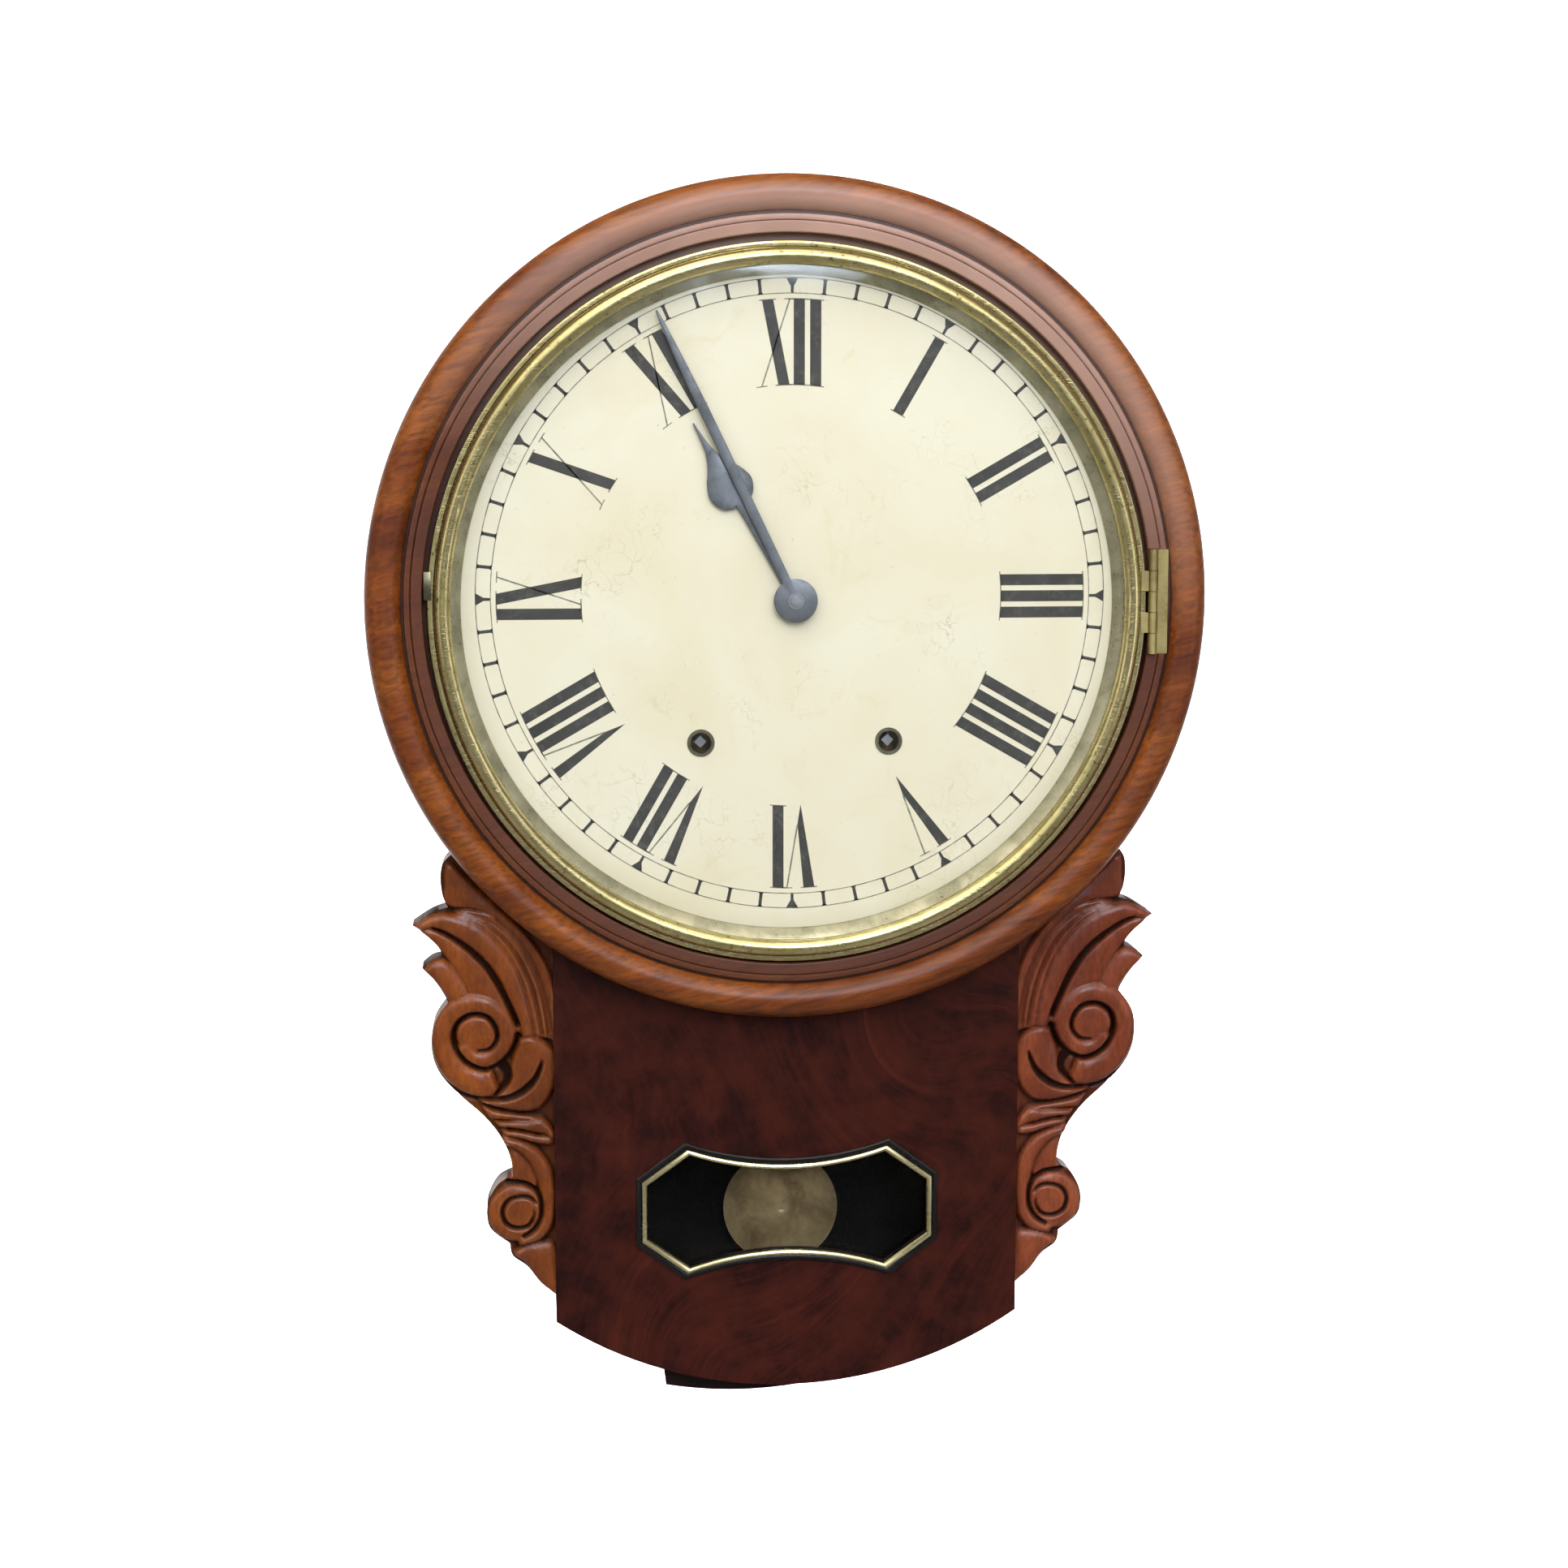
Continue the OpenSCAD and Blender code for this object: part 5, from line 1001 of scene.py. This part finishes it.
# Shade of what lies lower than its surroundings, of the ground and of the cuts: depth for full shade, and its share
def earHollows(field, cuts):
    layers = [(blur(field, 50) - field, 1.4, 0.7), (84.3 - field, 0.8, 0.5), (cuts, 1.6, 0.7)]
    return np.clip(sum(np.clip(depth / full, 0, 1) * share for depth, full, share in layers), 0, 1)


def toolMark(x, y):
    return noise.noise(Vector((x * 0.21, y * 0.21, 3.0))) + 0.5 * noise.noise(Vector((x * 0.6, y * 0.6, 7.0)))


def makeEars():
    field, cuts = makeRelief()
    hollowShade = earHollows(field, cuts)
    flat, triangles, count = earSheet()
    rough = np.array([toolMark(x, y) for x, y in flat])
    levels = np.clip(readField(field, flat) + earLook["toolMarks"] * rough, earLook["lowest"], earLook["highest"])
    start = len(flat)
    faces = triangles + [(i, (i + 1) % count, start + (i + 1) % count, start + i) for i in range(count)]
    faces.append(tuple(range(start, start + count)))
    for side, name, material in ((1, "left", "earWood"), (-1, "right", "earWoodRight")):
        points = [(side * x, y, t) for (x, y), t in zip(flat, levels)]
        points += [(side * x, y, earLook["back"]) for x, y in flat[:count]]
        piece = addPiece("carvedEar" + name.title(), points, faces, "case", material, 60, ("ear_" + name,))
        places = np.array([v.co[:] for v in piece.data.vertices])
        values = readField(hollowShade, np.stack([side * places[:, 0] / scale, places[:, 2] / scale + hangerRise], 1))
        # The mask of painted shade: the relief's hollows, and the sides and back almost fully shaded
        mask = piece.data.attributes.new("hollowShade", "FLOAT", "POINT")
        behind = places[:, 1] > -earLook["sides"] * scale
        mask.data.foreach_set("value", np.where(behind, earLook["sideShade"], values))


makeSurround()
makeBezel()
makeLiftingTab()
makeSightRing()
makeDomeGlass()
makeWindow()
for hand in hands:
    addHand(hand)
print("turned and swept pieces made")
makeEars()
print("ears carved")


# Dial print: each stroke is a flat quad just over the paint

inkLevel = dialFront + 0.03
dialPrint = {
    "outer": 132.0, "inner": 94.4, "stroke": 4.9735, "hair": 0.512, "thin": 0.7314, "serif": 1.2434,
    "letters": {"I": 7.314, "V": 12.7995, "X": 13.5309}, "crossHeavy": 3.657, "crossLight": 6.2169,
    "wedgeHeavy": -4.0227, "wedgeLight": 6.034, "wedgeTip": -0.1829,
    "trackOut": 141.2, "trackIn": 134.5, "trackLine": 0.45, "tick": 1.45, "tickSerif": 0.75,
    "wedge": 2.8, "wedgeNeck": 0.7, "wedgeDeep": 3.6, "wedgeFoot": 0.6,
}
numerals = ["XII", "I", "II", "III", "IIII", "V", "VI", "VII", "VIII", "IX", "X", "XI"]


class Sheet:
    def __init__(self, angle=0):
        self.points, self.faces, self.angle = [], [], angle

    def patch(self, corners):
        start = len(self.points)
        c, s = math.cos(math.radians(self.angle)), math.sin(math.radians(self.angle))
        self.points += [(printAt[0] + x * c + y * s, printAt[1] - x * s + y * c, inkLevel) for x, y in corners]
        self.faces.append(tuple(range(start, start + len(corners))))

    # Thin ring or part of one, from one angle to another
    def band(self, radius, width, start, end, steps):
        inner, outer = radius - width / 2, radius + width / 2
        for i in range(steps):
            a, b = (math.radians(start + (end - start) * k / steps) for k in (i, i + 1))
            corners = ((inner, a), (outer, a), (outer, b), (inner, b))
            self.patch([(r * math.sin(turn), r * math.cos(turn)) for r, turn in corners])

    def serif(self, middle, half, radius):
        low, high = (math.degrees(math.asin(side / radius)) for side in (middle - half, middle + half))
        self.band(radius, dialPrint["hair"], low, high, 6)


def reachAt(radius, side):
    return math.sqrt(radius * radius - side * side)


def stroke(sheet, outSide, inSide, width):
    ends = [(outSide, -1, "outer"), (outSide, 1, "outer"), (inSide, 1, "inner"), (inSide, -1, "inner")]
    corners = [(side + way * width / 2, dialPrint[end]) for side, way, end in ends]
    sheet.patch([(side, reachAt(radius, side)) for side, radius in corners])


def drawUpright(thick, hair, middle):
    width = dialPrint["stroke"]
    stroke(thick, middle, middle, width)
    for end in ("outer", "inner"):
        hair.serif(middle, width / 2 + dialPrint["serif"], dialPrint[end])


def drawCross(thick, hair, middle):
    width, edge = dialPrint["stroke"], dialPrint["serif"]
    heavy, light = dialPrint["crossHeavy"], dialPrint["crossLight"]
    stroke(thick, middle - heavy, middle + heavy, width)
    stroke(hair, middle + light, middle - light, dialPrint["thin"])
    for way, end in ((-1, "outer"), (1, "inner")):
        hair.serif(middle + way * heavy, width / 2 + edge, dialPrint[end])
        hair.serif(middle - way * light, 2 * edge, dialPrint[end])


# The heavy stroke keeps its width until the light one cuts it, and ends in a point
def drawWedge(thick, hair, middle):
    out, inn, edge, thin = dialPrint["outer"], dialPrint["inner"], dialPrint["serif"], dialPrint["thin"] / 2
    half = dialPrint["stroke"] / 2
    heavy, light, tip = (middle + dialPrint[key] for key in ("wedgeHeavy", "wedgeLight", "wedgeTip"))
    gap = light - heavy - half
    share = gap / (gap + half * 0.9)
    meetSide, meetReach = light + (tip - light) * share, out + (inn - out) * share
    thick.patch([(heavy - half, reachAt(out, heavy - half)), (heavy + half, reachAt(out, heavy + half)),
                 (meetSide, meetReach - 0.3), (tip, reachAt(inn, tip) - 0.6)])
    hair.patch([(light - thin, reachAt(out, light)), (light + thin, reachAt(out, light)),
                (meetSide + thin, meetReach), (meetSide - thin, meetReach)])
    hair.serif(heavy, half + edge, out)
    hair.serif(light, 2 * edge, out)


def drawNumeral(thick, hair, text):
    widths = dialPrint["letters"]
    left = -sum(widths[letter] for letter in text) / 2
    for letter in text:
        draw = {"I": drawUpright, "X": drawCross, "V": drawWedge}[letter]
        draw(thick, hair, left + widths[letter] / 2)
        left += widths[letter]


def makeDialPrint():
    thick, hair = Sheet(), Sheet()
    for hour, text in enumerate(numerals):
        thick.angle = hair.angle = 30 * hour
        drawNumeral(thick, hair, text)
    out, inn, grow = dialPrint["trackOut"], dialPrint["trackIn"], dialPrint["tickSerif"]
    hair.angle = 0
    for radius in (out, inn):
        hair.band(radius, dialPrint["trackLine"], 0, 360, 360)
    half, wide, neck = dialPrint["tick"] / 2, dialPrint["wedge"], dialPrint["wedgeNeck"]
    deep, foot = out - dialPrint["wedgeDeep"], dialPrint["wedgeFoot"]
    for minute in range(60):
        thick.angle = 6 * minute
        if minute % 5:
            thick.patch([(-half, out), (half, out), (half, inn), (-half, inn)])
            for radius, end in ((out, out - grow), (inn, inn + grow)):
                thick.patch([(-half - grow, radius), (half + grow, radius), (half, end), (-half, end)])
        else:
            thick.patch([(-wide, out), (wide, out), (neck, deep), (-neck, deep)])
            thick.patch([(-neck, deep), (neck, deep), (foot, inn), (-foot, inn)])
    addPiece("numerals", thick.points, thick.faces, "case", "dialInk", 0)
    addPiece("hairlines", hair.points, hair.faces, "case", "hairInk", 0)


makeDialPrint()
print("dial print made")

# Stage, lights and camera, in metres

stage = {"colour": "#aeaeae", "drop": -1.7, "reach": 2.6, "bend": 1.4, "rise": 5.0, "steps": 96}


# A pale bowl: flat floor, rounded corner and upright wall all round
def makeStage():
    inputs = {"Roughness": 0.9, "Specular IOR Level": 0.1, "Base Color": srgb(stage["colour"])}
    material, *_ = newMaterial("paleFloor", inputs)
    drop, bend, steps = stage["drop"], stage["bend"], stage["steps"]
    profile = [(0.0, drop), (stage["reach"], drop)]
    for a in np.linspace(0.1, math.pi / 2, 12):
        profile.append((stage["reach"] + bend * math.sin(a), drop + bend - bend * math.cos(a)))
    profile.append((stage["reach"] + bend, stage["rise"]))
    turns = [2 * math.pi * k / steps for k in range(steps)]
    points = [(reach * math.cos(a), reach * math.sin(a), height) for reach, height in profile for a in turns]
    mesh = bpy.data.meshes.new("floor")
    mesh.from_pydata(points, [], ringFaces(steps, len(profile)))
    finishMesh(mesh, 180)
    mesh.materials.append(material)
    floor = bpy.data.objects.new("floor", mesh)
    bpy.context.scene.collection.objects.link(floor)


def aim(thing, target):
    thing.rotation_euler = (Vector(target) - thing.location).to_track_quat("-Z", "Y").to_euler()


def addLight(name, at, target, size, power, spread, colour):
    light = bpy.data.lights.new(name, "AREA")
    light.shape = "RECTANGLE"
    light.size, light.size_y = size
    light.energy = power
    light.spread = math.radians(spread)
    light.color = srgb(colour)[:3]
    lamp = bpy.data.objects.new(name, light)
    lamp.location = at
    bpy.context.scene.collection.objects.link(lamp)
    aim(lamp, target)


# Each light: name, place, what it looks at, size, power, spread and colour
lightPlan = [
    ("key", (-0.25, -1.4, 1.65), (0, 0, -0.15), (3.0, 2.2), 58, 180, "#fffaf0"),
    ("wide", (0.2, -3.0, 1.25), (0, 0, -0.1), (3.6, 1.2), 22, 180, "#f6f8ff"),
    ("window", (0.219, -2.5, 0.80), (0.02, 0, -0.2), (0.44, 0.86), 22, 180, "#dfeaff"),
    ("right", (1.9, -1.7, 0.0), (0, 0, -0.25), (0.9, 1.6), 7, 180, "#f6f8ff"),
    ("left", (-2.0, -1.6, 0.3), (0, 0, -0.2), (0.8, 1.6), 5, 180, "#fffaf2"),
    ("behindLeft", (-1.2, 1.4, 1.3), (-0.6, 3.8, -0.7), (1.6, 1.0), 200, 120, "#ffffff"),
    ("behindRight", (1.2, 1.4, 1.3), (0.6, 3.8, -0.7), (1.6, 1.0), 200, 120, "#ffffff"),
    ("behindLow", (0.0, 1.2, -0.9), (0, 3.6, -1.5), (2.0, 0.5), 70, 120, "#ffffff"),
]
skyStrength = 0.2
view = {"target": (0.00095, -0.060, -0.21921), "azimuth": -5, "elevation": 8, "distance": 1.35, "lens": 66.645838}


def makeLights():
    bpy.context.scene.view_settings.view_transform = "Standard"
    for plan in lightPlan:
        addLight(*plan)
    world = bpy.data.worlds.new("softWorld")
    bpy.context.scene.world = world
    world.use_nodes = True
    sky = next(n for n in world.node_tree.nodes if n.type == "BACKGROUND")
    sky.inputs["Color"].default_value = (1.0, 1.0, 1.0, 1.0)
    sky.inputs["Strength"].default_value = skyStrength


def makeCamera():
    lens = bpy.data.cameras.new("camera")
    lens.sensor_width = 36
    lens.sensor_fit = "HORIZONTAL"
    lens.lens = view["lens"]
    lens.clip_start, lens.clip_end = 0.01, 50
    camera = bpy.data.objects.new("camera", lens)
    bpy.context.scene.collection.objects.link(camera)
    azimuth, elevation = math.radians(view["azimuth"]), math.radians(view["elevation"])
    level = math.cos(elevation)
    away = Vector((math.sin(azimuth) * level, -math.cos(azimuth) * level, math.sin(elevation)))
    camera.location = Vector(view["target"]) + view["distance"] * away
    aim(camera, view["target"])
    bpy.context.scene.camera = camera


makeStage()
makeLights()
makeCamera()
